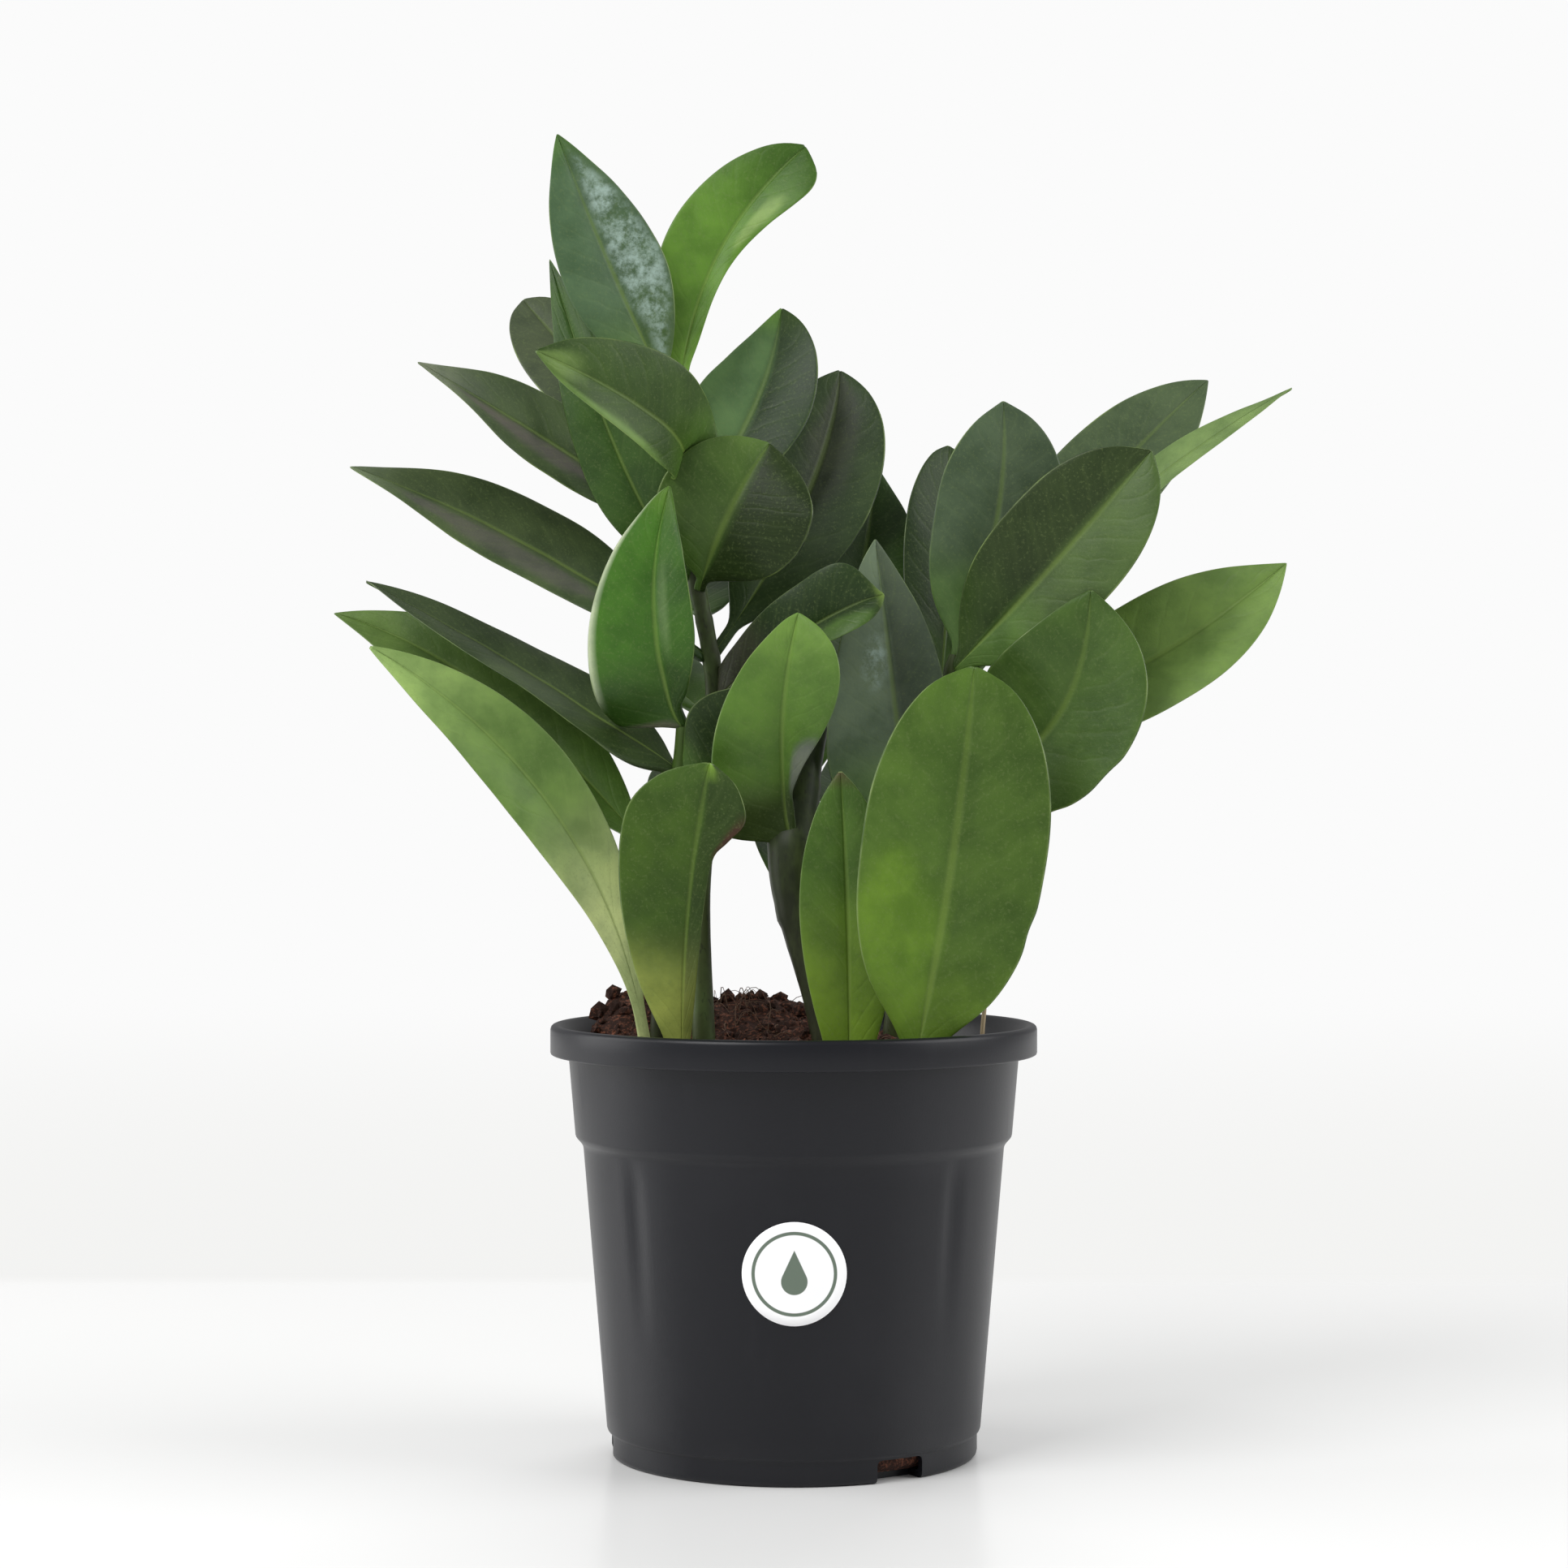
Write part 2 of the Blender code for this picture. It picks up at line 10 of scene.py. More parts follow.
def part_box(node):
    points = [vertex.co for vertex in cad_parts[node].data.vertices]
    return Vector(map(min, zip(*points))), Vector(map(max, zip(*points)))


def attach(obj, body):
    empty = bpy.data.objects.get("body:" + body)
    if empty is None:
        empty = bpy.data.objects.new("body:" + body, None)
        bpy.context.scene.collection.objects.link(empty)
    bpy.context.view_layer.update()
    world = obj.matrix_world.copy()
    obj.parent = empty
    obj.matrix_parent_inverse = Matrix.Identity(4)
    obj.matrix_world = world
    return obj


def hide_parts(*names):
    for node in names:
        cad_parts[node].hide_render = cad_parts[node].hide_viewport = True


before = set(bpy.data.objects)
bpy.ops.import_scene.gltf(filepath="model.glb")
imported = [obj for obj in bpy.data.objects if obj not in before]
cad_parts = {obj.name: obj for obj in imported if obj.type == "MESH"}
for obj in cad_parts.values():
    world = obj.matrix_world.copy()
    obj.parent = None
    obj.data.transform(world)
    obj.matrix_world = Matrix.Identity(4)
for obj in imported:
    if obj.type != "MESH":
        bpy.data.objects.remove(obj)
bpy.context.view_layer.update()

print("frame in place:", len(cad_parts), "nodes")
mm = 0.001


# One output of a node, which plain arithmetic can be written on.
class Wire:
    def __init__(self, nodes, socket):
        self.nodes = nodes
        self.socket = socket

    def math(self, operation, *others):
        return self.nodes.node("Math", {"operation": operation}, dict(enumerate((self, *others))))

    def __add__(self, other):
        return self.math("ADD", other)

    __radd__ = __add__

    def __sub__(self, other):
        return self.math("SUBTRACT", other)

    def __rsub__(self, other):
        return self * -1.0 + other

    def __mul__(self, other):
        return self.math("MULTIPLY", other)

    __rmul__ = __mul__

    def __pow__(self, other):
        return self.math("POWER", other)

    def __abs__(self):
        return self.math("ABSOLUTE")

    def between(self, low, high):  # 0 below low, 1 above high and smooth from one to the other
        return self.nodes.node(
            "MapRange", {"interpolation_type": "SMOOTHSTEP"}, {0: self, 1: low, 2: high}
        )


# The nodes of a material or of the surroundings.
class Nodes:
    def __init__(self, tree):
        self.tree = tree

    def plug(self, place, value):
        if isinstance(value, Wire):
            self.tree.links.new(value.socket, place)
        elif isinstance(value, tuple) and place.type == "RGBA":
            place.default_value = (*value, 1.0)
        else:
            place.default_value = value

    def node(self, kind, settings=None, sockets=None, output=0):
        made = self.tree.nodes.new("ShaderNode" + kind)
        for name, value in (settings or {}).items():
            setattr(made, name, value)
        for place, value in (sockets or {}).items():
            self.plug(made.inputs[place], value)
        return Wire(self, made.outputs[output])

    def place(self):
        return self.node("TexCoord", output="Object")

    def split(self, vector):
        made = self.node("SeparateXYZ", None, {0: vector}).socket.node
        return [Wire(self, out) for out in made.outputs]

    def noise(self, scale, detail=3.0, rough=0.55, stretch=None):
        where = self.place()
        if stretch:
            where = self.node("Mapping", None, {"Vector": where, "Scale": stretch})
        sockets = {"Vector": where, "Scale": scale, "Detail": detail, "Roughness": rough}
        return self.node("TexNoise", None, sockets)

    def mix(self, factor, first, second, blend="MIX"):
        settings = {"data_type": "RGBA", "blend_type": blend}
        return self.node("Mix", settings, {0: factor, 6: first, 7: second}, 2)


# A material: its name, and what is the same all over it.
class Finish(Nodes):
    def __init__(self, name, **fixed):
        self.material = bpy.data.materials.new(name)
        self.material.use_nodes = True
        super().__init__(self.material.node_tree)
        self.shader = self.tree.nodes["Principled BSDF"]
        self.set(**fixed)

    def set(self, **values):
        for name, value in values.items():
            self.plug(self.shader.inputs[name.replace("_", " ")], value)

    def bump(self, height, depth, strength=1.0):
        sockets = {"Height": height, "Distance": depth, "Strength": strength}
        self.set(Normal=self.node("Bump", None, sockets))


def linked(name, data):
    made = bpy.data.objects.new(name, data)
    bpy.context.scene.collection.objects.link(made)
    return made


view = {
    "place": (-0.0024, -0.862, 0.1649),  # level, in front of the pot
    "lens": 80.1,
    "middle": (0, 0, 0.15),  # what the lamps point at
    "white": 0.965,  # the wall behind, as the camera sees it
    "glow": 0.42,  # how much light the surroundings give
}
cameraData = bpy.data.cameras.new("camera")
cameraData.lens = view["lens"]
cameraData.sensor_width = 36.0
camera = linked("camera", cameraData)
camera.location = view["place"]
camera.rotation_euler = (math.radians(90), 0, 0)
bpy.context.scene.camera = camera
bpy.context.scene.view_settings.view_transform = "Standard"

world = bpy.data.worlds.new("studio")
world.use_nodes = True
studio = Nodes(world.node_tree)
sky = studio.node("Background", None, {"Color": (1, 1, 1), "Strength": view["glow"]})
wall = studio.node("Background", None, {"Color": (1, 1, 1), "Strength": view["white"]})
seen = studio.node("LightPath", output="Is Camera Ray")
either = studio.node("MixShader", None, {0: seen, 1: sky, 2: wall})
studio.plug(world.node_tree.nodes["World Output"].inputs[0], either)
bpy.context.scene.world = world

lamps = {
    "key": {"at": (-0.75, -0.75, 1.15), "size": 0.8, "power": 15.0},
    "window": {"at": (1.05, -0.15, 0.7), "size": 0.9, "power": 9.0},
    "side": {"at": (-1.1, 0.15, 0.45), "size": 0.8, "power": 6.0},
    "back": {"at": (0.2, 1.1, 1.0), "size": 0.9, "power": 9.0, "glint": False},
}
for lampName, lamp in lamps.items():
    lampData = bpy.data.lights.new(lampName, "AREA")
    lampData.shape = "SQUARE"
    lampData.size = lamp["size"]
    lampData.energy = lamp["power"]
    lampObject = linked(lampName, lampData)
    lampObject.location = lamp["at"]
    lampObject.visible_glossy = lamp.get("glint", True)
    aim = Vector(view["middle"]) - Vector(lamp["at"])
    lampObject.rotation_euler = aim.to_track_quat("-Z", "Y").to_euler()


def addPiece(name, data, slotName, *nodes, materials=()):
    piece = linked(name, data)
    for material in materials:
        piece.data.materials.append(material)
    if nodes:
        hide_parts(*nodes)
    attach(piece, "root")
    return piece


def meshOf(shape, name, smooth=True):
    mesh = bpy.data.meshes.new(name)
    shape.to_mesh(mesh)
    shape.free()
    for face in mesh.polygons:
        face.use_smooth = smooth
    return mesh


def blendOf(value, low, high):
    part = min(max((value - low) / (high - low), 0.0), 1.0)
    return part * part * (3 - 2 * part)


floorLook = {
    "half": 6.0,
    "edge": 0.29,  # where the table top ends, behind the pot
    "edgeBlur": (-0.008, 0.02),
    "litUntil": (0.55, 1.3),  # from here on it only glows
    "fadeBehind": 1.6,
    "fadeAround": (0.9, 1.6),
    "fadeBeside": (0.3, 0.75),
    "white": (0.86, 0.86, 0.855),
    # painted shade: the grey the glowing wall and far floor start at, darkest along the table's
    # edge
    "shade": (0.90, 0.90, 0.888),
    "far": (0.965, 0.965, 0.965),
}


# Pale table top that turns into the white surroundings with distance. Where it glows it starts at a
# painted shade tone, darkest along the table's back edge, and fades to even white.
def floorFinish():
    top = Finish("floor", Base_Color=floorLook["white"], Roughness=0.24)
    x, y, _ = top.split(top.place())
    edge = floorLook["edge"]
    beyond = y.between(*(edge + blur for blur in floorLook["edgeBlur"]))
    reach = (x * x + y * y) ** 0.5
    far = beyond.math("MAXIMUM", reach.between(*floorLook["litUntil"]))
    around = reach.between(*floorLook["fadeAround"]) * (1.0 - beyond)
    fade = y.between(edge, edge + floorLook["fadeBehind"]).math("MAXIMUM", around)
    fade = fade.math("MAXIMUM", abs(x).between(*floorLook["fadeBeside"]))
    # Painted shade: grey along the table's edge and nearby, fading to even white further off.
    colour = top.mix(fade, floorLook["shade"], floorLook["far"])
    glow = top.node("Emission", None, {"Color": colour})
    both = top.node("MixShader", None, {0: far, 1: Wire(top, top.shader.outputs[0]), 2: glow})
    top.plug(top.tree.nodes["Material Output"].inputs[0], both)
    return top.material


floorShape = bmesh.new()
bmesh.ops.create_grid(floorShape, x_segments=1, y_segments=1, size=floorLook["half"])
floorPiece = linked("floor", meshOf(floorShape, "floor", False))
floorPiece.data.materials.append(floorFinish())


pot = {
    "rimRadius": 60.0,
    "rimHeight": 105.8,
    "skirtDrop": 7.3,
    "skirtWall": 1.3,
    "collarTop": 55.5,
    "collarLow": 53.8,
    "collarLowHeight": 78.3,
    "collarStep": 2.3,
    "wallTop": 51.9,
    "wallLow": 46.0,
    "footHeight": 6.0,
    "footStep": 0.8,
    "wall": 1.5,
    "floor": 1.6,
    "turns": 216,
    "fluteDepth": 0.75,
    "fluteHalf": 4.6,
    "fluteFade": (26.0, 60.0),  # heights between which a flute deepens
    "fluteAngles": (-132.0, -48.0, 48.0, 132.0),
    "notchWidth": 13.0,
    "notchHeight": 5.5,
    "notchReach": 12.0,
    "notchRound": 1.2,
    "notchAngles": (34.0, 154.0, 274.0),
    "sharpFrom": 50.0,  # degrees
}
skirtLow = pot["rimHeight"] - pot["skirtDrop"]
stepLow = pot["collarLowHeight"] - pot["collarStep"]
footRadius = pot["wallLow"] - pot["footStep"]


def potRadius(height):
    if height <= pot["footHeight"]:
        return footRadius
    if height <= stepLow:
        part = (height - pot["footHeight"]) / (stepLow - pot["footHeight"])
        return pot["wallLow"] + part * (pot["wallTop"] - pot["wallLow"])
    if height <= pot["collarLowHeight"]:
        part = (height - stepLow) / pot["collarStep"]
        return pot["wallTop"] + part * (pot["collarLow"] - pot["wallTop"])
    part = (height - pot["collarLowHeight"]) / (skirtLow - pot["collarLowHeight"])
    return pot["collarLow"] + part * (pot["collarTop"] - pot["collarLow"])


# Dark moulded plastic, with faint dust and handling marks.
def potFinish():
    skin = Finish("potPlastic", Specular_IOR_Level=0.27)
    broad = skin.noise(28.0, 3.0)
    streak = skin.noise(90.0, 4.0, 0.6, stretch=(1.0, 1.0, 0.22))
    grain = skin.noise(2600.0, 2.0, 0.5)
    dust = streak.between(0.55, 0.85) * 0.35 + broad.between(0.5, 0.8) * 0.25
    skin.set(
        Base_Color=skin.mix(dust, (0.0058, 0.0062, 0.0090), (0.017, 0.017, 0.021)),
        Roughness=0.33 + dust * 0.25 + grain * 0.06,
    )
    skin.bump(grain * 0.5 + streak * 0.5, 0.00006, 0.6)
    return skin.material


def turned(profile, steps):
    shape = bmesh.new()
    corners = [shape.verts.new((radius * mm, 0.0, height * mm)) for radius, height in profile]
    edges = [shape.edges.new(pair) for pair in zip(corners, corners[1:])]
    bmesh.ops.spin(
        shape, geom=corners + edges, axis=(0, 0, 1), cent=(0, 0, 0), steps=steps,
        angle=math.tau, use_merge=True,
    )
    bmesh.ops.remove_doubles(shape, verts=shape.verts, dist=0.000001)
    return shape


# From the middle of the floor up the inside, over the rim, down the outside and under the base.
def potProfile():
    rim, top, wall, floor = pot["rimRadius"], pot["rimHeight"], pot["wall"], pot["floor"]
    collar, low, step = pot["collarTop"], pot["collarLow"], pot["collarLowHeight"]
    wallTop, wallLow, foot = pot["wallTop"], pot["wallLow"], pot["footHeight"]
    inside = rim - pot["skirtWall"]  # of the skirt
    within = footRadius - wall  # of the foot band
    profile = [
        (0.0, floor), (20.0, floor), (within - 1.2, floor), (within - 0.3, floor + 0.4),
        (within, floor + 1.2), (within, foot), (wallLow - wall, foot + 1.2),
        (wallTop - wall, stepLow + 0.6), (low - wall, step + 0.6),
        (collar - wall, skirtLow), (collar - wall + 0.45, skirtLow + 1.8),
        (collar - wall + 1.3, skirtLow + 3.6), (collar - wall + 2.2, skirtLow + 5.4),
        (rim - 2.75, top - 0.75), (rim - 2.3, top - 0.25), (rim - 1.6, top),
        (rim - 0.95, top - 0.05), (rim - 0.5, top - 0.25), (rim - 0.18, top - 0.6),
        (rim, top - 1.2), (rim, skirtLow + 0.5), (rim - 0.12, skirtLow + 0.15),
        (rim - 0.4, skirtLow), (inside + 0.2, skirtLow), (inside, skirtLow + 0.2),
        (inside, top - 3.0), (rim - 2.2, top - 3.1), (rim - 3.0, top - 3.5),
        (collar + 0.9, skirtLow + 2.6), (collar + 0.3, skirtLow + 1.0),
        (collar, skirtLow - 0.6), (low + 0.05, step + 0.5), (low - 0.15, step - 0.1),
        (wallTop + 0.6, stepLow + 0.9), (wallTop + 0.15, stepLow + 0.2),
    ]
    pieces = 14
    start, end = stepLow - 0.6, foot + 0.9
    for piece in range(pieces + 1):
        height = start + (end - start) * piece / pieces
        profile.append((potRadius(height), height))
    profile += [
        (wallLow - 0.12, foot + 0.35), (footRadius + 0.1, foot), (footRadius, foot - 0.4),
        (footRadius, 1.4), (footRadius - 0.15, 0.7), (footRadius - 0.55, 0.2),
        (footRadius - 1.2, 0.0), (footRadius - 6.0, 0.0), (0.0, 0.0),
    ]
    return profile


# Flutes: pressed into the outside of the wall, deepest under the collar.
def pressFlutes(shape):
    for vert in shape.verts:
        radius = math.hypot(vert.co.x, vert.co.y) / mm
        height = vert.co.z / mm
        if not pot["footHeight"] < height < stepLow or radius < potRadius(height) - 0.4:
            continue
        angle = math.degrees(math.atan2(vert.co.x, -vert.co.y))
        fade = blendOf(height, *pot["fluteFade"]) * (1 - blendOf(height, stepLow - 3.0, stepLow))
        for flute in pot["fluteAngles"]:
            away = abs((angle - flute + 180) % 360 - 180)
            across = math.radians(away) * radius / pot["fluteHalf"]
            if across < 1:
                depth = pot["fluteDepth"] * fade * math.cos(across * math.pi / 2) ** 2
                vert.co.x *= (radius - depth) / radius
                vert.co.y *= (radius - depth) / radius


# A block with round long edges that cuts one drain notch, at an angle round the foot.
def notchCutter(name, angle):
    block = bmesh.new()
    bmesh.ops.create_cube(block, size=1.0)
    size = Vector((pot["notchReach"], pot["notchWidth"], 2 * pot["notchHeight"])) * mm
    bmesh.ops.scale(block, vec=size, verts=block.verts)
    spans = [(edge, edge.verts[1].co - edge.verts[0].co) for edge in block.edges]
    bmesh.ops.bevel(
        block,
        geom=[edge for edge, span in spans if abs(span.z) < 1e-6 and abs(span.x) > 1e-6],
        offset=pot["notchRound"] * mm, offset_type="OFFSET", affect="EDGES", segments=3,
        profile=0.5, material=-1,
    )
    bmesh.ops.translate(block, vec=(footRadius * mm, 0, 0), verts=block.verts)
    turn = math.radians(angle)
    for vert in block.verts:
        x, y = vert.co.x, vert.co.y
        vert.co.x = x * math.sin(turn) + y * math.cos(turn)
        vert.co.y = -x * math.cos(turn) + y * math.sin(turn)
    return linked(name, meshOf(block, name, False))


def buildPot():
    shape = turned(potProfile(), pot["turns"])
    pressFlutes(shape)
    bmesh.ops.recalc_face_normals(shape, faces=shape.faces)
    body = linked("potBlank", meshOf(shape, "potBlank"))
    cutters = []
    for number, angle in enumerate(pot["notchAngles"]):
        cutters.append(notchCutter(f"notch{number}", angle))
        boolean = body.modifiers.new("notch", "BOOLEAN")
        boolean.operation = "DIFFERENCE"
        boolean.solver = "EXACT"
        boolean.object = cutters[-1]
    bpy.context.view_layer.update()
    finished = bpy.data.meshes.new_from_object(
        body.evaluated_get(bpy.context.evaluated_depsgraph_get())
    )
    for spare in (body, *cutters):
        bpy.data.objects.remove(spare, do_unlink=True)
    finished.materials.clear()
    finished.shade_smooth()
    finished.set_sharp_from_angle(angle=math.radians(pot["sharpFrom"]))
    addPiece("pot_shell", finished, "pot", "pot", materials=[potFinish()])


buildPot()
print("pot done")


soil = {
    "level": 100.5,
    "socketDepth": 14.0,
    "gap": 0.4,
    "topRadius": 50.5,
    "rings": 46,
    "turns": 150,
    "seed": 11,
    "crumbs": 1700,
    "crumbSizes": (0.4, 0.5, 0.7, 0.7, 1.0, 1.3, 1.9),
    "reach": 52.0,  # how far out loose bits lie
    "fibres": 90,
    "tuft": 34,  # how many of the fibres stand together in a tuft
    "straw": ((46.5, 6, 92), (46.8, 6, 98), (47.0, 6, 104), (47.6, 6, 110.5)),
    "strawRadius": 0.55,
}
socketFloor = soil["level"] - soil["socketDepth"] + 1.0


def soilHeight(x, y):
    height = soil["level"] - 1.5
    height += 13.0 * math.exp(-((x + 40) ** 2 + (y - 22) ** 2) / 260)
    height += 11.0 * math.exp(-((x + 8) ** 2 + (y - 26) ** 2) / 330)
    height += 4.0 * math.exp(-((x - 10) ** 2 + (y + 5) ** 2) / 500)
    height -= 5.0 * math.exp(-((x - 46) ** 2 + (y - 4) ** 2) / 300)
    return height


# Soil height with its lumps, in millimetres.
def roughGround(x, y):
    height = soilHeight(x, y)
    height += 1.1 * noise.noise((x * 0.14, y * 0.14, 3.1))
    height += 0.7 * noise.noise((x * 0.45, y * 0.45, 8.4))
    height += 0.35 * noise.noise((x * 1.3, y * 1.3, 1.7))
    return height


# Damp coco peat: nearly black, with red-brown crumbs.
def soilFinish():
    ground = Finish("cocoPeat", Specular_IOR_Level=0.2)
    clod = ground.noise(260.0, 4.0, 0.65)
    crumb = ground.noise(1100.0, 3.0, 0.6)
    red = crumb.between(0.46, 0.68) * clod.between(0.32, 0.6)
    ground.set(
        Base_Color=ground.mix(red * 0.9, (0.026, 0.0115, 0.0080), (0.19, 0.070, 0.040)),
        Roughness=0.9 - crumb * 0.15,
    )
    ground.bump(clod * 0.6 + crumb * 0.4, 0.0008, 0.9)
    return ground.material


def buildSoil(finish):
    gap, wall = soil["gap"], pot["wall"]
    rings = soil["rings"]
    profile = [(soil["topRadius"] * step / rings, soil["level"]) for step in range(rings + 1)]
    profile += [
        (pot["collarTop"] - wall - gap, soil["level"] - 1.0),
        (pot["collarLow"] - wall - gap, pot["collarLowHeight"] + 0.9),
        (pot["wallTop"] - wall - gap, stepLow + 0.2),
        (pot["wallLow"] - wall - gap, pot["footHeight"] + 1.8),
        (footRadius - wall - gap - 0.5, pot["footHeight"] + 0.2),
        (footRadius - wall - gap - 0.5, pot["floor"] + gap + 1.6),
        (footRadius - wall - gap - 2.0, pot["floor"] + gap),
        (0.0, pot["floor"] + gap),
    ]
    shape = turned(profile, soil["turns"])
    for vert in shape.verts:
        x, y, z = (value / mm for value in vert.co)
        radius = math.hypot(x, y)
        if z > soil["level"] - 0.5:
            vert.co.z = roughGround(x, y) * mm
        elif z > pot["collarLowHeight"] + 5:
            height = min(roughGround(x, y) - 0.5, skirtLow + 2.0)
            wanted = potRadius(min(height, skirtLow)) - wall - gap + 0.2
            vert.co = Vector((x * wanted / radius, y * wanted / radius, height)) * mm
    bmesh.ops.recalc_face_normals(shape, faces=shape.faces)
    addPiece("soil_body", meshOf(shape, "soil_body"), "soil", "soil", materials=[finish])


def buildCrumbs(finish):
    random.seed(soil["seed"])
    crumbs = bmesh.new()
    for _ in range(soil["crumbs"]):
        reach = soil["reach"] * math.sqrt(random.random())
        turn = random.uniform(0, math.tau)
        x, y = reach * math.cos(turn), reach * math.sin(turn)
        size = random.choice(soil["crumbSizes"]) * random.uniform(0.8, 1.2)
        made = bmesh.ops.create_icosphere(crumbs, subdivisions=1, radius=size * mm)["verts"]
        squeeze = Vector([random.uniform(0.6, 1.25) for _ in range(3)])
        bmesh.ops.scale(crumbs, vec=squeeze, verts=made)
        for vert in made:
            vert.co *= random.uniform(0.78, 1.2)
        lift = roughGround(x, y) + size * random.uniform(0.0, 0.45)
        bmesh.ops.translate(crumbs, vec=Vector((x, y, lift)) * mm, verts=made)
    addPiece("soil_crumbs", meshOf(crumbs, "soil_crumbs", False), "soil", materials=[finish])


# Adds one smooth hair or stalk to a curve, from points and radii in millimetres.
def strand(curve, points, radii):
    spline = curve.splines.new("POLY")
    spline.points.add(len(points) - 1)
    for place, point, radius in zip(spline.points, points, radii):
        place.co = (*(Vector(point) * mm), 1.0)
        place.radius = radius
    spline.use_smooth = True


def strandCurve(name, sides):
    curve = bpy.data.curves.new(name, "CURVE")
    curve.dimensions = "3D"
    curve.bevel_depth = mm
    curve.bevel_resolution = sides
    curve.use_fill_caps = True
    return curve


def buildFibres():
    random.seed(soil["seed"] + 1)
    hair = Finish("fibre", Roughness=0.8)
    hair.set(Base_Color=hair.mix(hair.noise(500.0), (0.03, 0.016, 0.010), (0.16, 0.085, 0.045)))
    curve = strandCurve("soil_fibres", 0)
    for number in range(soil["fibres"]):
        if number < soil["tuft"]:
            x, y = random.gauss(-11, 7), random.gauss(20, 8)
        else:
            reach, turn = 50 * math.sqrt(random.random()), random.uniform(0, math.tau)
            x, y = reach * math.cos(turn), reach * math.sin(turn)
        heading = random.uniform(0, math.tau)
        length = random.uniform(4, 11)
        arch = random.uniform(0.5, 5.0 if number < soil["tuft"] else 1.8)
        points = []
        for step in range(7):
            along = step / 6
            heading += random.uniform(-0.35, 0.35)
            x += math.cos(heading) * length / 6
            y += math.sin(heading) * length / 6
            if math.hypot(x, y) > soil["reach"]:
                break
            lift = arch * math.sin(math.pi * min(1.0, along * 1.15)) + 0.1
            points.append((x, y, soilHeight(x, y) + lift))
        if len(points) > 3:
            strand(curve, points, [random.uniform(0.07, 0.15)] * len(points))
    addPiece("soil_fibres", curve, "soil", materials=[hair.material])


def buildStraw():
    straw = Finish("straw", Roughness=0.6)
    grain = straw.noise(300.0, stretch=(1, 1, 0.2))
    straw.set(Base_Color=straw.mix(grain, (0.36, 0.27, 0.15), (0.55, 0.44, 0.28)))
    curve = strandCurve("soil_straw", 2)
    strand(curve, soil["straw"], [soil["strawRadius"]] * len(soil["straw"]))
    addPiece("soil_straw", curve, "soil", materials=[straw.material])


peat = soilFinish()
buildSoil(peat)
buildCrumbs(peat)
buildFibres()
buildStraw()
print("soil done")


stems = {
    "stem_tall": {
        "points": (
            (-22, -11, socketFloor), (-22, -11, 104), (-23, -4, 138), (-20, 4, 172), (-20, 5, 192),
            (-24, 4, 215), (-28, 4, 240), (-30, 4, 261),
        ),
        "radii": (2.9, 1.7),
        "colours": ((0.055, 0.075, 0.022), (0.03, 0.038, 0.016), (0.1, 0.16, 0.045)),
        "knots": (150, 180, 186, 196, 205, 213, 216, 228, 233, 240, 249, 256),
    },
    "stem_short": {
        "points": (
            (-33, 2, socketFloor), (-33, 2, 106), (-31, -1, 140), (-28, -5, 168), (-27, -7, 180),
        ),
        "radii": (2.6, 1.8),
        "colours": ((0.022, 0.026, 0.01), (0.042, 0.082, 0.012), (0.06, 0.085, 0.025)),
        "knots": (143, 160, 168),
    },
    "stem_centre": {
        "points": (
            (7, -14, socketFloor), (7, -14, 104), (2, -11, 128), (0, -7, 150), (6, 2, 178),
            (14, 9, 199),
        ),
        "radii": (3.2, 1.8),
        "colours": ((0.022, 0.024, 0.01), (0.016, 0.026, 0.007), (0.06, 0.085, 0.022)),
        "knots": (133, 150, 163, 186),
        "thick": (148, 21, 1.5),  # height, reach and how much fuller
    },
    "stem_right": {
        "points": (
            (25, 3, socketFloor), (25, 3, 104), (29, 4, 140), (35, 5, 172), (40, 4, 197),
        ),
        "radii": (3.0, 1.8),
        "colours": ((0.05, 0.065, 0.02), (0.045, 0.065, 0.018), (0.1, 0.16, 0.04)),
        "knots": (140, 148, 162, 170, 176, 180, 184, 189, 193),
    },
}


def smoothRun(points, pieces):
    run = []
    points = [Vector(point) for point in points]
    padded = [2 * points[0] - points[1], *points, 2 * points[-1] - points[-2]]
    for before, start, end, after in zip(padded, padded[1:], padded[2:], padded[3:]):
        for step in range(pieces):
            t = step / pieces
            bend = (end - before) * 0.5 * t
            bend += (2 * before - 5 * start + 4 * end - after) * 0.5 * t**2
            bend += (3 * start - before - 3 * end + after) * 0.5 * t**3
            run.append(start + bend)
    run.append(points[-1])
    return run


for stem in stems.values():
    stem["run"] = smoothRun(stem["points"], 3)


# The stem's centre and radius at a height.
def stemAt(stem, height):
    run = stem["run"]
    centre = run[-1] if height > run[-1].z else run[0]
    for start, end in zip(run, run[1:]):
        if start.z <= height <= end.z:
            centre = start.lerp(end, (height - start.z) / (end.z - start.z))
            break
    part = min(max((height - run[0].z) / (run[-1].z - run[0].z), 0.0), 1.0)
    low, top = stem["radii"]
    return centre, low + part * (top - low)


# Fleshy stem skin: its colour changes going up, with dark and pale flecks.
def stemFinish(name, colours, low, high):
    skin = Finish(name, Specular_IOR_Level=0.22)
    _, _, height = skin.split(skin.place())
    up = height.between(low, high)
    ground = skin.mix(up, colours[0], colours[1])
    blotch = skin.noise(170.0, 3.0, 0.6, stretch=(1, 1, 0.45))
    fleck = skin.noise(900.0, 2.0, 0.5, stretch=(1, 1, 0.35))
    ground = skin.mix(blotch.between(0.42, 0.75) * 0.55, ground, colours[2])
    ground = skin.mix(fleck.between(0.6, 0.72) * 0.5, ground, (0.012, 0.012, 0.008))
    skin.set(Base_Color=ground, Roughness=0.42 + blotch * 0.12)
    skin.bump(blotch * 0.6 + fleck * 0.4, 0.0002, 0.5)
    return skin.material


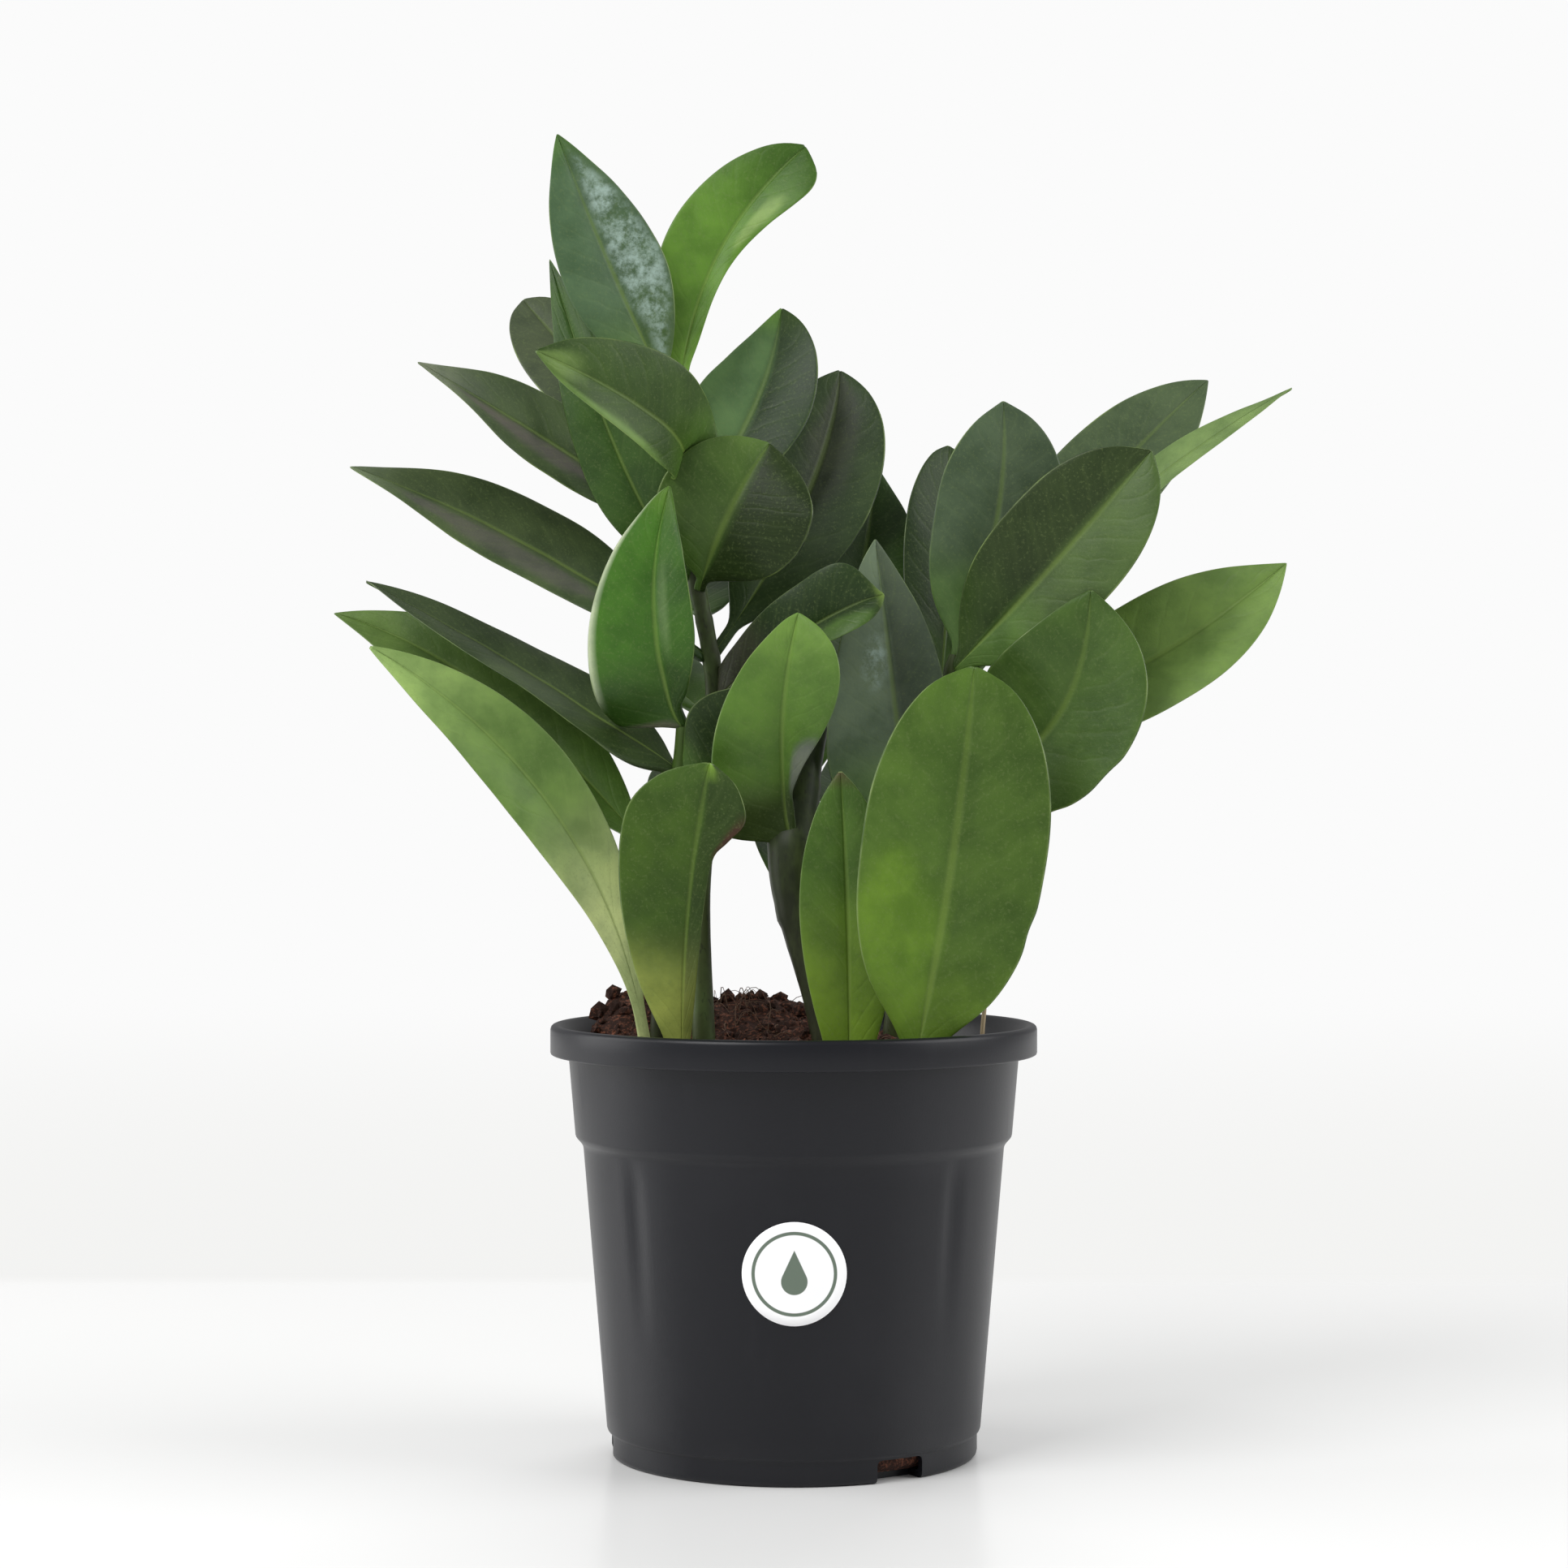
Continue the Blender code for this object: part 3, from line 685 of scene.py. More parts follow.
def buildStem(name, stem):
    points = smoothRun(stem["points"], 10)
    radii = []
    for point in points:
        radius = stemAt(stem, point.z)[1]
        swell = sum(math.exp(-(((point.z - knot) / 1.8) ** 2)) for knot in stem["knots"])
        if "thick" in stem:
            middle, reach, fuller = stem["thick"]
            radius *= 1 + fuller * math.exp(-(((point.z - middle) / reach) ** 2))
        radius *= 1 + 0.10 * min(swell, 1.2) + 0.03 * noise.noise((point.z * 0.2, 0.5, radius))
        radii.append(radius)
    radii[-1] *= 0.72
    curve = strandCurve(name, 4)
    strand(curve, points, radii)
    low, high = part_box(name)
    skin = stemFinish(name + "Skin", stem["colours"], low[2] + 0.02, high[2] - 0.03)
    addPiece(name + "_skin", curve, "stem", name, materials=[skin])


for stemName, stem in stems.items():
    buildStem(stemName, stem)
print("stems done")


# Half widths along a blade, from its foot to its tip.
outlines = {
    "pointed": (
        (0, 0), (0.07, 0.02), (0.15, 0.4), (0.28, 0.78), (0.43, 1), (0.6, 0.95), (0.76, 0.7),
        (0.89, 0.36), (0.97, 0.12), (1, 0.01),
    ),
    "rounded": (
        (0, 0), (0.08, 0.06), (0.2, 0.52), (0.34, 0.86), (0.5, 1), (0.66, 0.97), (0.8, 0.8),
        (0.91, 0.5), (0.975, 0.2), (1, 0.02),
    ),
    "rising": (
        (0, 0.1), (0.1, 0.1), (0.21, 0.2), (0.33, 0.52), (0.46, 0.86), (0.6, 1), (0.74, 0.95),
        (0.87, 0.66), (0.96, 0.26), (1, 0.02),
    ),
    "oval": (
        (0, 0.08), (0.1, 0.08), (0.17, 0.28), (0.27, 0.68), (0.4, 0.92), (0.56, 1), (0.71, 0.97),
        (0.84, 0.8), (0.93, 0.55), (0.98, 0.28), (1, 0.03),
    ),
    "egg": (
        (0, 0), (0.07, 0.05), (0.16, 0.42), (0.28, 0.74), (0.44, 0.95), (0.6, 1), (0.75, 0.93),
        (0.87, 0.7), (0.95, 0.42), (0.99, 0.18), (1, 0.02),
    ),
    "hollow": (  # narrow along the middle and full near the tip
        (0, 0), (0.1, 0.05), (0.24, 0.24), (0.4, 0.32), (0.56, 0.42), (0.7, 0.66), (0.82, 0.92),
        (0.91, 0.96), (0.975, 0.62), (1, 0.04),
    ),
    "eared": (  # square at the foot
        (0, 0.1), (0.02, 0.2), (0.045, 0.78), (0.09, 0.93), (0.2, 1), (0.38, 0.98), (0.56, 0.85),
        (0.74, 0.6), (0.88, 0.32), (0.97, 0.12), (1, 0.01),
    ),
    "heavy": (  # full near the foot
        (0, 0.04), (0.05, 0.2), (0.11, 0.62), (0.2, 0.9), (0.32, 1), (0.48, 0.92), (0.64, 0.72),
        (0.8, 0.48), (0.93, 0.24), (1, 0.01),
    ),
    "full": (
        (0, 0.08), (0.05, 0.16), (0.12, 0.48), (0.2, 0.74), (0.32, 0.93), (0.5, 1), (0.68, 0.95),
        (0.82, 0.75), (0.93, 0.42), (1, 0.01),
    ),
    "sprung": (  # fullest in its lower third
        (0, 0.1), (0.03, 0.3), (0.08, 0.66), (0.16, 0.92), (0.26, 1), (0.4, 0.94), (0.55, 0.8),
        (0.7, 0.62), (0.84, 0.4), (0.94, 0.18), (1, 0.01),
    ),
    "late": (  # opens late and is full near the tip
        (0, 0), (0.18, 0.06), (0.32, 0.32), (0.48, 0.72), (0.62, 0.95), (0.76, 1), (0.88, 0.82),
        (0.95, 0.52), (0.985, 0.28), (1, 0.03),
    ),
    "wedge": (  # wide and straight into the tip
        (0, 0), (0.07, 0.04), (0.16, 0.42), (0.29, 0.76), (0.44, 0.95), (0.6, 1), (0.74, 0.9),
        (0.86, 0.64), (0.95, 0.28), (1, 0.01),
    ),
    "spade": (
        (0, 0.1), (0.12, 0.12), (0.22, 0.26), (0.3, 0.45), (0.38, 0.62), (0.5, 0.8), (0.62, 0.92),
        (0.76, 1), (0.86, 0.95), (0.93, 0.72), (0.98, 0.38), (1, 0.05),
    ),
    "torn": (
        (0, 0.1), (0.12, 0.12), (0.25, 0.2), (0.45, 0.27), (0.62, 0.29), (0.74, 0.36), (0.79, 0.66),
        (0.86, 0.95), (0.92, 0.8), (0.97, 0.52), (1, 0.05),
    ),
    "strap": (  # broad from the foot on
        (0, 0.3), (0.1, 0.36), (0.2, 0.55), (0.31, 0.76), (0.45, 0.94), (0.6, 1), (0.75, 0.88),
        (0.88, 0.58), (0.96, 0.26), (1, 0.02),
    ),
    "flap": (  # full near the tip, then square
        (0, 0.4), (0.08, 0.56), (0.24, 0.72), (0.44, 0.88), (0.6, 0.97), (0.74, 1), (0.85, 0.92),
        (0.92, 0.6), (0.96, 0.22), (1, 0.02),
    ),
}
blade = {
    "columns": 14,
    "rows": 40,
    "thickness": 0.75,  # at the middle of the blade
    "stalk": 2.3,  # thickness of the stalk
    "stalkWidth": 3.0,
}
deep = (0.026, 0.052, 0.016)
green = (0.044, 0.090, 0.020)
fresh = (0.075, 0.160, 0.022)


# A smooth curve through the outline's stations.
def outlineAt(outline, along):
    for number in range(len(outline) - 1):
        (startAt, start), (endAt, end) = outline[number], outline[number + 1]
        if along <= endAt:
            break
    before = outline[max(number - 1, 0)]
    after = outline[min(number + 2, len(outline) - 1)]
    gap = endAt - startAt
    rise = (end - before[1]) / (endAt - before[0]) * gap
    fall = (after[1] - start) / (after[0] - startAt) * gap
    if number == len(outline) - 2:
        fall = end - start
    t = min(max((along - startAt) / gap, 0.0), 1.0)
    value = (2 * t**3 - 3 * t**2 + 1) * start + (t**3 - 2 * t**2 + t) * rise
    value += (3 * t**2 - 2 * t**3) * end + (t**3 - t**2) * fall
    return max(value, 0.0)


def mixOf(first, second, part):
    return tuple(a + (b - a) * part for a, b in zip(first, second))


# A leaf's blade, from its foot to its tip: a folded, slightly waved sheet that is thick at the
# stalk and the midrib and thin at its margin. Across runs from -1 to 1, and along from 0 to 1.
class Blade:
    def __init__(self, name, leaf, foot, tip):
        random.seed(name)
        self.leaf = leaf
        self.foot, self.tip = foot, tip
        self.control = (foot + tip) / 2 + 2 * Vector(leaf.get("bow", (0, 0, 0)))
        self.look = Vector(leaf["face"]).normalized()
        shapes = leaf.get("outline", "pointed")
        self.shapes = (shapes, shapes) if isinstance(shapes, str) else shapes
        self.wide = leaf.get("wide", (1.0, 1.0))
        self.sides = leaf.get("sides", (1.0, 1.0))
        self.footColour = leaf.get("footColour", mixOf(leaf["colour"], fresh, 0.5))
        self.phase = random.uniform(0, math.tau)
        self.ripples = random.uniform(1.6, 2.6)

    def half(self, across, along):
        side = 0 if across < 0 else 1
        share = outlineAt(outlines[self.shapes[side]], along) * self.wide[side]
        half = share * self.leaf["width"] / 2
        if along < 0.2:
            half = max(half, blade["stalkWidth"] / 2)
        for nickSide, nickAt, nickLong, nickDeep in self.leaf.get("nicks", ()):
            if across * nickSide > 0:
                near = max(0.0, 1 - abs(along - nickAt) / nickLong)
                jag = 0.6 + 0.5 * noise.noise((along * 60, nickAt, 2.0))
                half -= nickDeep * near * abs(across) * jag
        return half

    def point(self, across, along):
        back = 1 - along
        place = self.foot * back**2 + self.control * 2 * along * back + self.tip * along**2
        ahead = (self.control - self.foot) * back + (self.tip - self.control) * along
        ahead.normalize()
        side = ahead.cross(self.look).normalized()
        half = self.half(across, along)
        opened = blendOf(along, 0.04, 0.24)
        lift = math.radians(self.leaf.get("fold", 14)) * opened
        place = place + side * (across * half * math.cos(lift))
        height = abs(across) * half * math.sin(lift) * (1.25 - 0.5 * abs(across))
        height -= 0.35 * opened * math.exp(-((across / 0.07) ** 2))
        turn = along * math.tau * self.ripples + self.phase + across
        height += self.leaf.get("wave", 0.5) * opened * across**2 * math.sin(turn)
        height += 0.25 * opened * noise.noise(place * 0.12 + Vector((self.phase, 0, 0)))
        return place + side.cross(ahead) * height

    # The colour at a point, and how strongly the painted pale sheen shows there.
    def tint(self, across, along, place):
        colour, reach = self.leaf["colour"], self.leaf.get("footReach", 0.42)
        shade = mixOf(self.footColour, colour, blendOf(along, 0.45 * reach, reach))
        tipPart = blendOf(along, self.leaf.get("tipFrom", 0.84), 1.0)
        shade = mixOf(shade, self.leaf.get("tipColour", colour), tipPart)
        # Painted shade and light: each half's colour is scaled, darker on the half turned from the
        # light, lighter on the other.
        strength = self.sides[0 if across < 0 else 1] - 1
        strength = 1 + strength * blendOf(abs(across), 0.0, 0.12)
        shade = tuple(value * strength for value in shade)
        paintedSheen = 0.0
        for middle, station, breadth, length, paint in self.leaf.get("patches", ()):
            away = math.hypot((across - middle) / breadth, (along - station) / length)
            away += 0.25 * noise.noise(place * 0.11)
            # A patch may paint pale sheen, a painted reflection, instead of a colour.
            if paint == "paintedSheen":
                paintedSheen = max(paintedSheen, 1 - blendOf(away, 0.55, 1.1))
            else:
                shade = mixOf(shade, paint, 1 - blendOf(away, 0.6, 1.1))
        return (*shade, paintedSheen)

    # Share of the stalk's thickness.
    def flesh(self, across, along):
        flesh = blade["thickness"] * (0.62 + 0.38 * math.exp(-((across / 0.2) ** 2)))
        flesh *= 1 - 0.45 * abs(across) ** 4
        stalk = (1 - blendOf(along, 0.05, 0.26)) * (1 - 0.5 * across**2)
        flesh += (blade["stalk"] - flesh) * stalk
        return min(flesh / blade["stalk"], 1.0)


def leafMesh(name, leaf, foot, tip):
    form = Blade(name, leaf, foot, tip)
    shape = bmesh.new()
    bmesh.ops.create_grid(
        shape, x_segments=blade["columns"], y_segments=blade["rows"], size=1.0
    )
    uvLayer = shape.loops.layers.uv.new("blade")
    tint = shape.verts.layers.float_color.new("tint")
    weights = shape.verts.layers.deform.verify()
    for face in shape.faces:
        for loop in face.loops:
            loop[uvLayer].uv = ((loop.vert.co.x + 1) / 2, (loop.vert.co.y + 1) / 2)
    for vert in shape.verts:
        across, row = vert.co.x, (vert.co.y + 1) / 2
        along = row + 0.055 * math.sin(row * math.tau) * (row - 0.5)
        place = form.point(across, along)
        vert.co = place * mm
        vert[tint] = form.tint(across, along, place)
        vert[weights][0] = form.flesh(across, along)
    return meshOf(shape, name)


# Waxy leaf skin. The blade map runs across from 0 to 1 and along from foot to tip.
def leafFinish(name, back=False):
    skin = Finish(name, Specular_IOR_Level=0.12 if back else 0.2)
    across, along, _ = skin.split(skin.node("UVMap", {"uv_map": "blade"}))
    tint = skin.node("Attribute", {"attribute_name": "tint"})
    # The tint's alpha: where and how strongly a painted pale sheen shows.
    paintedSheen = skin.node("Attribute", {"attribute_name": "tint"}, None, 3)
    spread = abs(across - 0.5) * 2.0  # 0 at the midrib, 1 at the margin
    wobble = skin.noise(150.0, 2.0) - 0.5
    mottle = skin.noise(85.0, 4.0, 0.6)
    speck = skin.noise(1500.0, 2.0, 0.6)
    rows = along * 11.0 - spread * 1.9 + wobble * 0.5
    vein = 1.0 - abs(rows.math("FRACT") - 0.5).between(0.0, 0.13)
    vein = vein * spread.between(0.04, 0.2) * (1.0 - spread.between(0.75, 1.0))
    fine = 1.0 - abs((rows * 4.0).math("FRACT") - 0.5).between(0.05, 0.35)
    midrib = 1.0 - spread.between(0.012, 0.075)
    margin = spread.between(0.955, 0.995)
    colour = skin.mix(0.22, tint, (0.09, 0.14, 0.05)) if back else tint
    colour = skin.mix(mottle.between(0.4, 0.75) * 0.7, colour, (1.45, 1.4, 1.3), "MULTIPLY")
    colour = skin.mix(mottle.between(0.55, 0.25) * 0.65, colour, (0.62, 0.68, 0.6), "MULTIPLY")
    colour = skin.mix(vein * 0.05 + fine * 0.015, colour, (0.17, 0.24, 0.07))
    colour = skin.mix(speck.between(0.54, 0.70) * 0.2, colour, (0.15, 0.20, 0.07))
    colour = skin.mix(midrib * (1.0 - along * 0.7) * 0.5, colour, (0.17, 0.25, 0.05))
    # Painted sheen: a streaked pale bluish-white reflection mixed into the colour where the tint's
    # alpha asks for it.
    paintedSheenStreaks = skin.noise(300.0, 5.0, 0.7).between(0.36, 0.7)
    colour = skin.mix(paintedSheen * paintedSheenStreaks * 0.75, colour, (0.38, 0.50, 0.45))
    colour = skin.mix(margin * 0.45, colour, (0.16, 0.24, 0.05))
    skin.set(
        Base_Color=colour,
        Roughness=(0.55 if back else 0.32) + mottle * 0.2 + speck * 0.05,
    )
    relief = vein * -0.15 + fine * -0.02 + mottle * 0.6 + speck * 0.15 + midrib * -0.6
    skin.bump(relief, 0.0005, 0.6)
    return skin.material


# The thin pale edge of a leaf.
def marginFinish():
    skin = Finish("leafMargin", Roughness=0.4)
    tint = skin.node("Attribute", {"attribute_name": "tint"})
    across, along, _ = skin.split(skin.node("UVMap", {"uv_map": "blade"}))
    pale = skin.noise(90.0).between(0.4, 0.65) * 0.6 * along.between(0.1, 0.3)
    skin.set(Base_Color=skin.mix(pale, tint, (0.19, 0.27, 0.07)))
    return skin.material


leafSkins = (leafFinish("leafFace"), leafFinish("leafBack", True), marginFinish())


def buildLeaf(name, leaf, foot, tip):
    mesh = leafMesh(name, leaf, foot, tip)
    piece = addPiece(name + "_blade", mesh, "leaf", name, materials=leafSkins)
    piece.vertex_groups.new(name="flesh")
    body = piece.modifiers.new("thickness", "SOLIDIFY")
    body.thickness = blade["stalk"] * mm
    body.offset = 0.0
    body.vertex_group = "flesh"
    body.material_offset = 1
    body.material_offset_rim = 2
    soft = piece.modifiers.new("soft", "SUBSURF")
    soft.levels = 1
    soft.render_levels = 1


# Where a leaf's stalk leaves its stem. The stem's name is in the leaf's.
def footOnStem(name, leaf):
    stem = stems["stem_" + name.split("_")[1]]
    hub, radius = stemAt(stem, leaf["height"])
    out = Vector(leaf["side"]) if "side" in leaf else Vector(leaf["tip"]) - hub
    out.z = 0.0
    out.normalize()
    top = stem["run"][-1].z
    if leaf["height"] >= top:
        return Vector((hub.x, hub.y, top - 1.0)) + out * (radius - blade["stalkWidth"] / 2)
    foot = hub + out * (radius - 0.6)  # the stalk runs a little into the stem
    foot.z = leaf["height"]
    return foot


# A leaf leaves its stem at a height, towards a side, or the soil at a root, and ends at its tip.
# Bow bends it. Outline, wide and sides give its left and right half: their outline, width and
# brightness, and that brightness is painted shade on the half turned from the light and painted
# light on the other. A nick has a side, a station, a length and a depth, and a patch has its place
# across and along, its two reaches and its paint: a colour, or a painted pale sheen. Some of the
# colour patches are painted sheen or highlight too.
leaves = {
    "leaf_tall_1": dict(
        height=150, tip=(-28, 56, 172), width=26, face=(0.2, -0.6, 0.8), side=(-0.1, 1, 0),
        colour=deep,
    ),
    "leaf_tall_2": dict(
        height=180, tip=(-52, 50, 212), width=27, face=(0.4, -0.5, 0.8), side=(-1, 1, 0),
        colour=green,
    ),
    "leaf_tall_3": dict(
        height=186, tip=(22, -14, 211), width=22, face=(-0.2, -1, 0.35), side=(1, -0.8, 0),
        bow=(0, -5, 3), outline=("flap", "late"), wide=(1.1, 0.72), fold=24,
        colour=(0.016, 0.034, 0.008), footColour=(0.05, 0.052, 0.032), tipColour=(0.13, 0.2, 0.04),
        tipFrom=0.93, patches=((0.75, 0.72, 0.5, 0.2, (0.06, 0.12, 0.022)),),
    ),
    "leaf_tall_4": dict(
        height=196, tip=(-108, -14, 242), width=29, face=(0.2, -0.7, 0.7), bow=(0, 0, 4),
        colour=(0.05, 0.076, 0.03), sides=(1.05, 0.8), footColour=(0.026, 0.058, 0.014),
        # patch: painted grey sheen on the left half
        tipColour=(0.1, 0.135, 0.075), patches=((-0.45, 0.55, 0.35, 0.35, (0.075, 0.08, 0.06)),),
    ),
    "leaf_tall_5": dict(
        height=197, tip=(12, 34, 271), width=34, face=(0, -1, 0.1), side=(0.5, 1, 0), bow=(7, 2, 3),
        outline="rounded", colour=(0.034, 0.058, 0.022), footColour=(0.026, 0.05, 0.014),
        # patch: painted grey sheen high on the blade
        patches=((0.1, 0.75, 0.5, 0.3, (0.05, 0.062, 0.04)),),
    ),
    "leaf_tall_6": dict(
        height=205, tip=(-28, 58, 230), width=26, face=(0.1, -0.6, 0.8), side=(-0.1, 1, 0),
        colour=deep,
    ),
    "leaf_tall_7": dict(
        height=213, tip=(-6, -2, 249), width=42, face=(0.15, -0.85, 0.4), side=(0.2, -1, 0),
        bow=(-2, -6, -1), outline=("rounded", "egg"), wide=(0.88, 1.0), wave=0.8,
        # sides: painted light on the left half, painted shade on the right half
        colour=(0.04, 0.078, 0.014), sides=(1.15, 0.32), footColour=(0.05, 0.1, 0.016),
        tipColour=(0.06, 0.11, 0.02),
    ),
    "leaf_tall_8": dict(
        height=216, tip=(-61, 9, 296), width=20, face=(-0.15, -1, 0), side=(-1, 0.5, 0),
        bow=(1, -12, -12), colour=(0.03, 0.07, 0.012), footColour=(0.048, 0.11, 0.016),
    ),
    "leaf_tall_9": dict(
        height=228, tip=(-91, -18, 267), width=27, face=(0.2, -0.75, 0.65), side=(-1, -0.5, 0),
        bow=(0, 9, 1), colour=(0.044, 0.072, 0.024), tipColour=(0.13, 0.155, 0.1), tipFrom=0.72,
        # patch: painted purple-grey sheen on the left half
        patches=((-0.35, 0.55, 0.3, 0.35, (0.085, 0.082, 0.066)),),
    ),
    "leaf_tall_10": dict(
        height=233, tip=(-3, 26, 286), width=31, face=(-0.25, -1, 0.1), side=(0.3, 1, 0),
        bow=(4, 0, -2), outline=("pointed", "rounded"), colour=(0.054, 0.102, 0.038),
        # sides: painted light on the left half, painted shade on the right half
        sides=(1.5, 0.38), tipColour=(0.08, 0.16, 0.03),
    ),
    "leaf_tall_11": dict(
        height=240, tip=(-71, 54, 292), width=28, face=(0.2, -1, 0.2), side=(0, 1, 0),
        outline="egg", colour=(0.046, 0.062, 0.032),
    ),
    "leaf_tall_12": dict(
        height=243, tip=(-61, -40, 267), width=27, face=(0.1, -1, 0.3), bow=(13, 0, -3),
        outline="full", wide=(0.74, 1.12), colour=(0.03, 0.062, 0.01),
        patches=(
            (-1.0, 0.72, 0.3, 0.34, (0.11, 0.19, 0.045)),
            (-0.2, 0.97, 0.8, 0.12, (0.1, 0.165, 0.04)),
        ),
    ),
    "leaf_tall_13": dict(
        height=256, tip=(3, 14, 325), width=26, face=(-0.1, -1, 0.25), side=(1, 0.4, 0),
        bow=(-7, 0, 4), outline=("rounded", "hollow"), wide=(1.1, 0.85),
        colour=(0.085, 0.185, 0.022), footColour=(0.115, 0.23, 0.032),
        tipColour=(0.035, 0.085, 0.01), tipFrom=0.6,
        # patch: painted highlight on the right half
        patches=((0.6, 0.7, 0.3, 0.12, (0.17, 0.27, 0.07)),),
    ),
    "leaf_tall_14": dict(
        height=262, tip=(-58, -8, 324), width=27, face=(0.15, -1, 0.15), bow=(-1, 0, 0),
        colour=(0.06, 0.11, 0.052), sides=(1.1, 0.85), footColour=(0.07, 0.13, 0.04),
        # patch: painted pale sheen over the right half
        tipColour=(0.06, 0.13, 0.03), patches=((0.5, 0.5, 0.48, 0.46, "paintedSheen"),),
    ),
    "leaf_short_1": dict(
        height=143, tip=(-116, 18, 208), width=26, face=(0.15, -0.9, 0.4), bow=(1, 3, 10),
        colour=(0.06, 0.108, 0.022), tipColour=(0.09, 0.155, 0.035), tipFrom=0.7,
    ),
    "leaf_short_2": dict(
        height=160, tip=(-4, -13, 189), width=22, face=(0.1, -0.95, 0.2), side=(1, -0.5, 0),
        bow=(2, -1, -2), outline="strap", wide=(1.45, 1.0), colour=(0.02, 0.04, 0.01),
    ),
    "leaf_short_3": dict(
        height=168, tip=(-106, 2, 215), width=23, face=(0.35, -0.55, 0.75), side=(-1, 0.2, 0),
        bow=(0, 0, 2), outline="sprung", colour=(0.044, 0.066, 0.03),
        footColour=(0.028, 0.05, 0.014),
    ),
    "leaf_short_4": dict(
        height=180, tip=(-30, -18, 237), width=34, face=(-0.4, -1, 0.1), bow=(-5, -5, -2),
        outline=("eared", "pointed"), wide=(1.08, 0.7), fold=20, colour=(0.04, 0.12, 0.01),
        sides=(1.0, 0.66), footColour=(0.03, 0.078, 0.01), tipColour=(0.08, 0.165, 0.022),
        patches=(
            # first patch: painted highlight along the left margin
            (-1.0, 0.55, 0.09, 0.42, (0.42, 0.48, 0.33)),
            (-0.6, 0.03, 0.6, 0.035, (0.1, 0.11, 0.07)), (0.22, 0.5, 0.1, 0.3, (0.07, 0.13, 0.038)),
        ),
    ),
    "leaf_centre_1": dict(
        height=133, tip=(-2, 44, 164), width=22, face=(0.3, -0.4, 0.9), side=(-0.1, 1, 0),
        colour=deep,
    ),
    "leaf_centre_2": dict(
        height=150, tip=(1, -26, 206), width=29, face=(-0.15, -1, 0.05), side=(0, -1, 0),
        bow=(-3, -3, 1), outline=("eared", "late"), wide=(1.28, 1.0), fold=20,
        colour=(0.075, 0.155, 0.022), sides=(1.0, 0.9), footColour=(0.035, 0.06, 0.012),
        footReach=0.34, tipColour=(0.12, 0.22, 0.04), tipFrom=0.6,
        # patch: painted grey sheen on the folded right half
        patches=((0.8, 0.34, 0.5, 0.14, (0.12, 0.14, 0.11)),),
    ),
    "leaf_centre_3": dict(
        height=163, tip=(-4, 50, 196), width=26, face=(0.1, -0.6, 0.8), side=(-0.2, 1, 0),
        colour=deep,
    ),
    "leaf_centre_4": dict(
        height=186, tip=(24, 62, 214), width=24, face=(-0.1, -0.5, 0.8), side=(0.3, 1, 0),
        colour=green,
    ),
    "leaf_centre_5": dict(
        height=199, tip=(22, 44, 247), width=26, face=(0.1, -1, 0.1), colour=(0.022, 0.052, 0.008),
    ),
    "leaf_right_1": dict(
        height=140, tip=(10, 56, 172), width=26, face=(0.2, -0.5, 0.8), side=(-0.6, 1, 0),
        colour=deep,
    ),
    "leaf_right_2": dict(
        height=148, tip=(20, -6, 225), width=26, face=(0.1, -1, 0.1), side=(-0.5, -1, 0),
        outline=("heavy", "pointed"), wide=(1.5, 1.0), colour=(0.092, 0.128, 0.082),
        # sides: painted light on the left half, painted shade on the right; patch: painted pale
        # sheen
        sides=(1.2, 0.62), patches=((-0.3, 0.62, 0.22, 0.1, "paintedSheen"),),
    ),
    "leaf_right_3": dict(
        height=162, tip=(72, -16, 212), width=42, face=(-0.1, -1, 0.4), side=(1, -0.6, 0),
        bow=(9, -5, -9), outline=("rounded", "wedge"), wave=0.7,
        nicks=((1, 0.52, 0.05, 2.0), (1, 0.36, 0.04, 1.2)), colour=(0.05, 0.098, 0.018),
    ),
    "leaf_right_4": dict(
        height=170, tip=(78, 52, 204), width=26, face=(-0.2, -0.5, 0.8), side=(0.8, 1, 0),
        colour=deep,
    ),
    "leaf_right_5": dict(
        height=176, tip=(123, 8, 220), width=33, face=(-0.2, -0.9, 0.45), side=(1, 0.2, 0),
        bow=(2, 0, -6), outline="wedge", colour=(0.125, 0.21, 0.048), sides=(1.0, 1.12),
        footColour=(0.11, 0.2, 0.038),
    ),
    "leaf_right_6": dict(
        height=180, tip=(40, 36, 252), width=26, face=(0.3, -1, 0.2), side=(-0.8, 1, 0),
        bow=(1, 0, 0), outline="egg", colour=(0.02, 0.038, 0.012),
    ),
    "leaf_right_7": dict(
        height=184, tip=(125, 12, 264), width=17, face=(-0.5, -0.55, 0.65), side=(1, 0.1, 0),
        bow=(-4, 0, 6), colour=(0.14, 0.22, 0.07), footColour=(0.1, 0.16, 0.05),
    ),
    "leaf_right_8": dict(
        height=189, tip=(108, 46, 270), width=29, face=(-0.1, -1, 0.3), side=(0.6, 1, 0),
        bow=(-2, 2, 3), outline=("rounded", "wedge"), colour=(0.056, 0.086, 0.04),
    ),
    "leaf_right_9": dict(
        height=193, tip=(87, -14, 246), width=35, face=(-0.1, -1, 0.25), side=(0.6, -1, 0),
        bow=(2, -3, 1), outline="full", wide=(1.0, 0.95), colour=(0.05, 0.088, 0.022),
        # sides: painted shade on the left half, painted light on the right half
        sides=(0.42, 1.1),
    ),
    "leaf_right_10": dict(
        height=197, tip=(52, 4, 260), width=33, face=(0.1, -1, 0.15), bow=(4, 1, 1), outline="full",
        colour=(0.054, 0.084, 0.044), sides=(1.1, 0.92),
    ),
    "leaf_soil_left": dict(
        root=(-35, -9), tip=(-102, -24, 198), width=22, face=(0.3, -0.9, 0.4), bow=(15, -4, 9),
        outline="rising", colour=(0.1, 0.175, 0.04), sides=(1.1, 0.95),
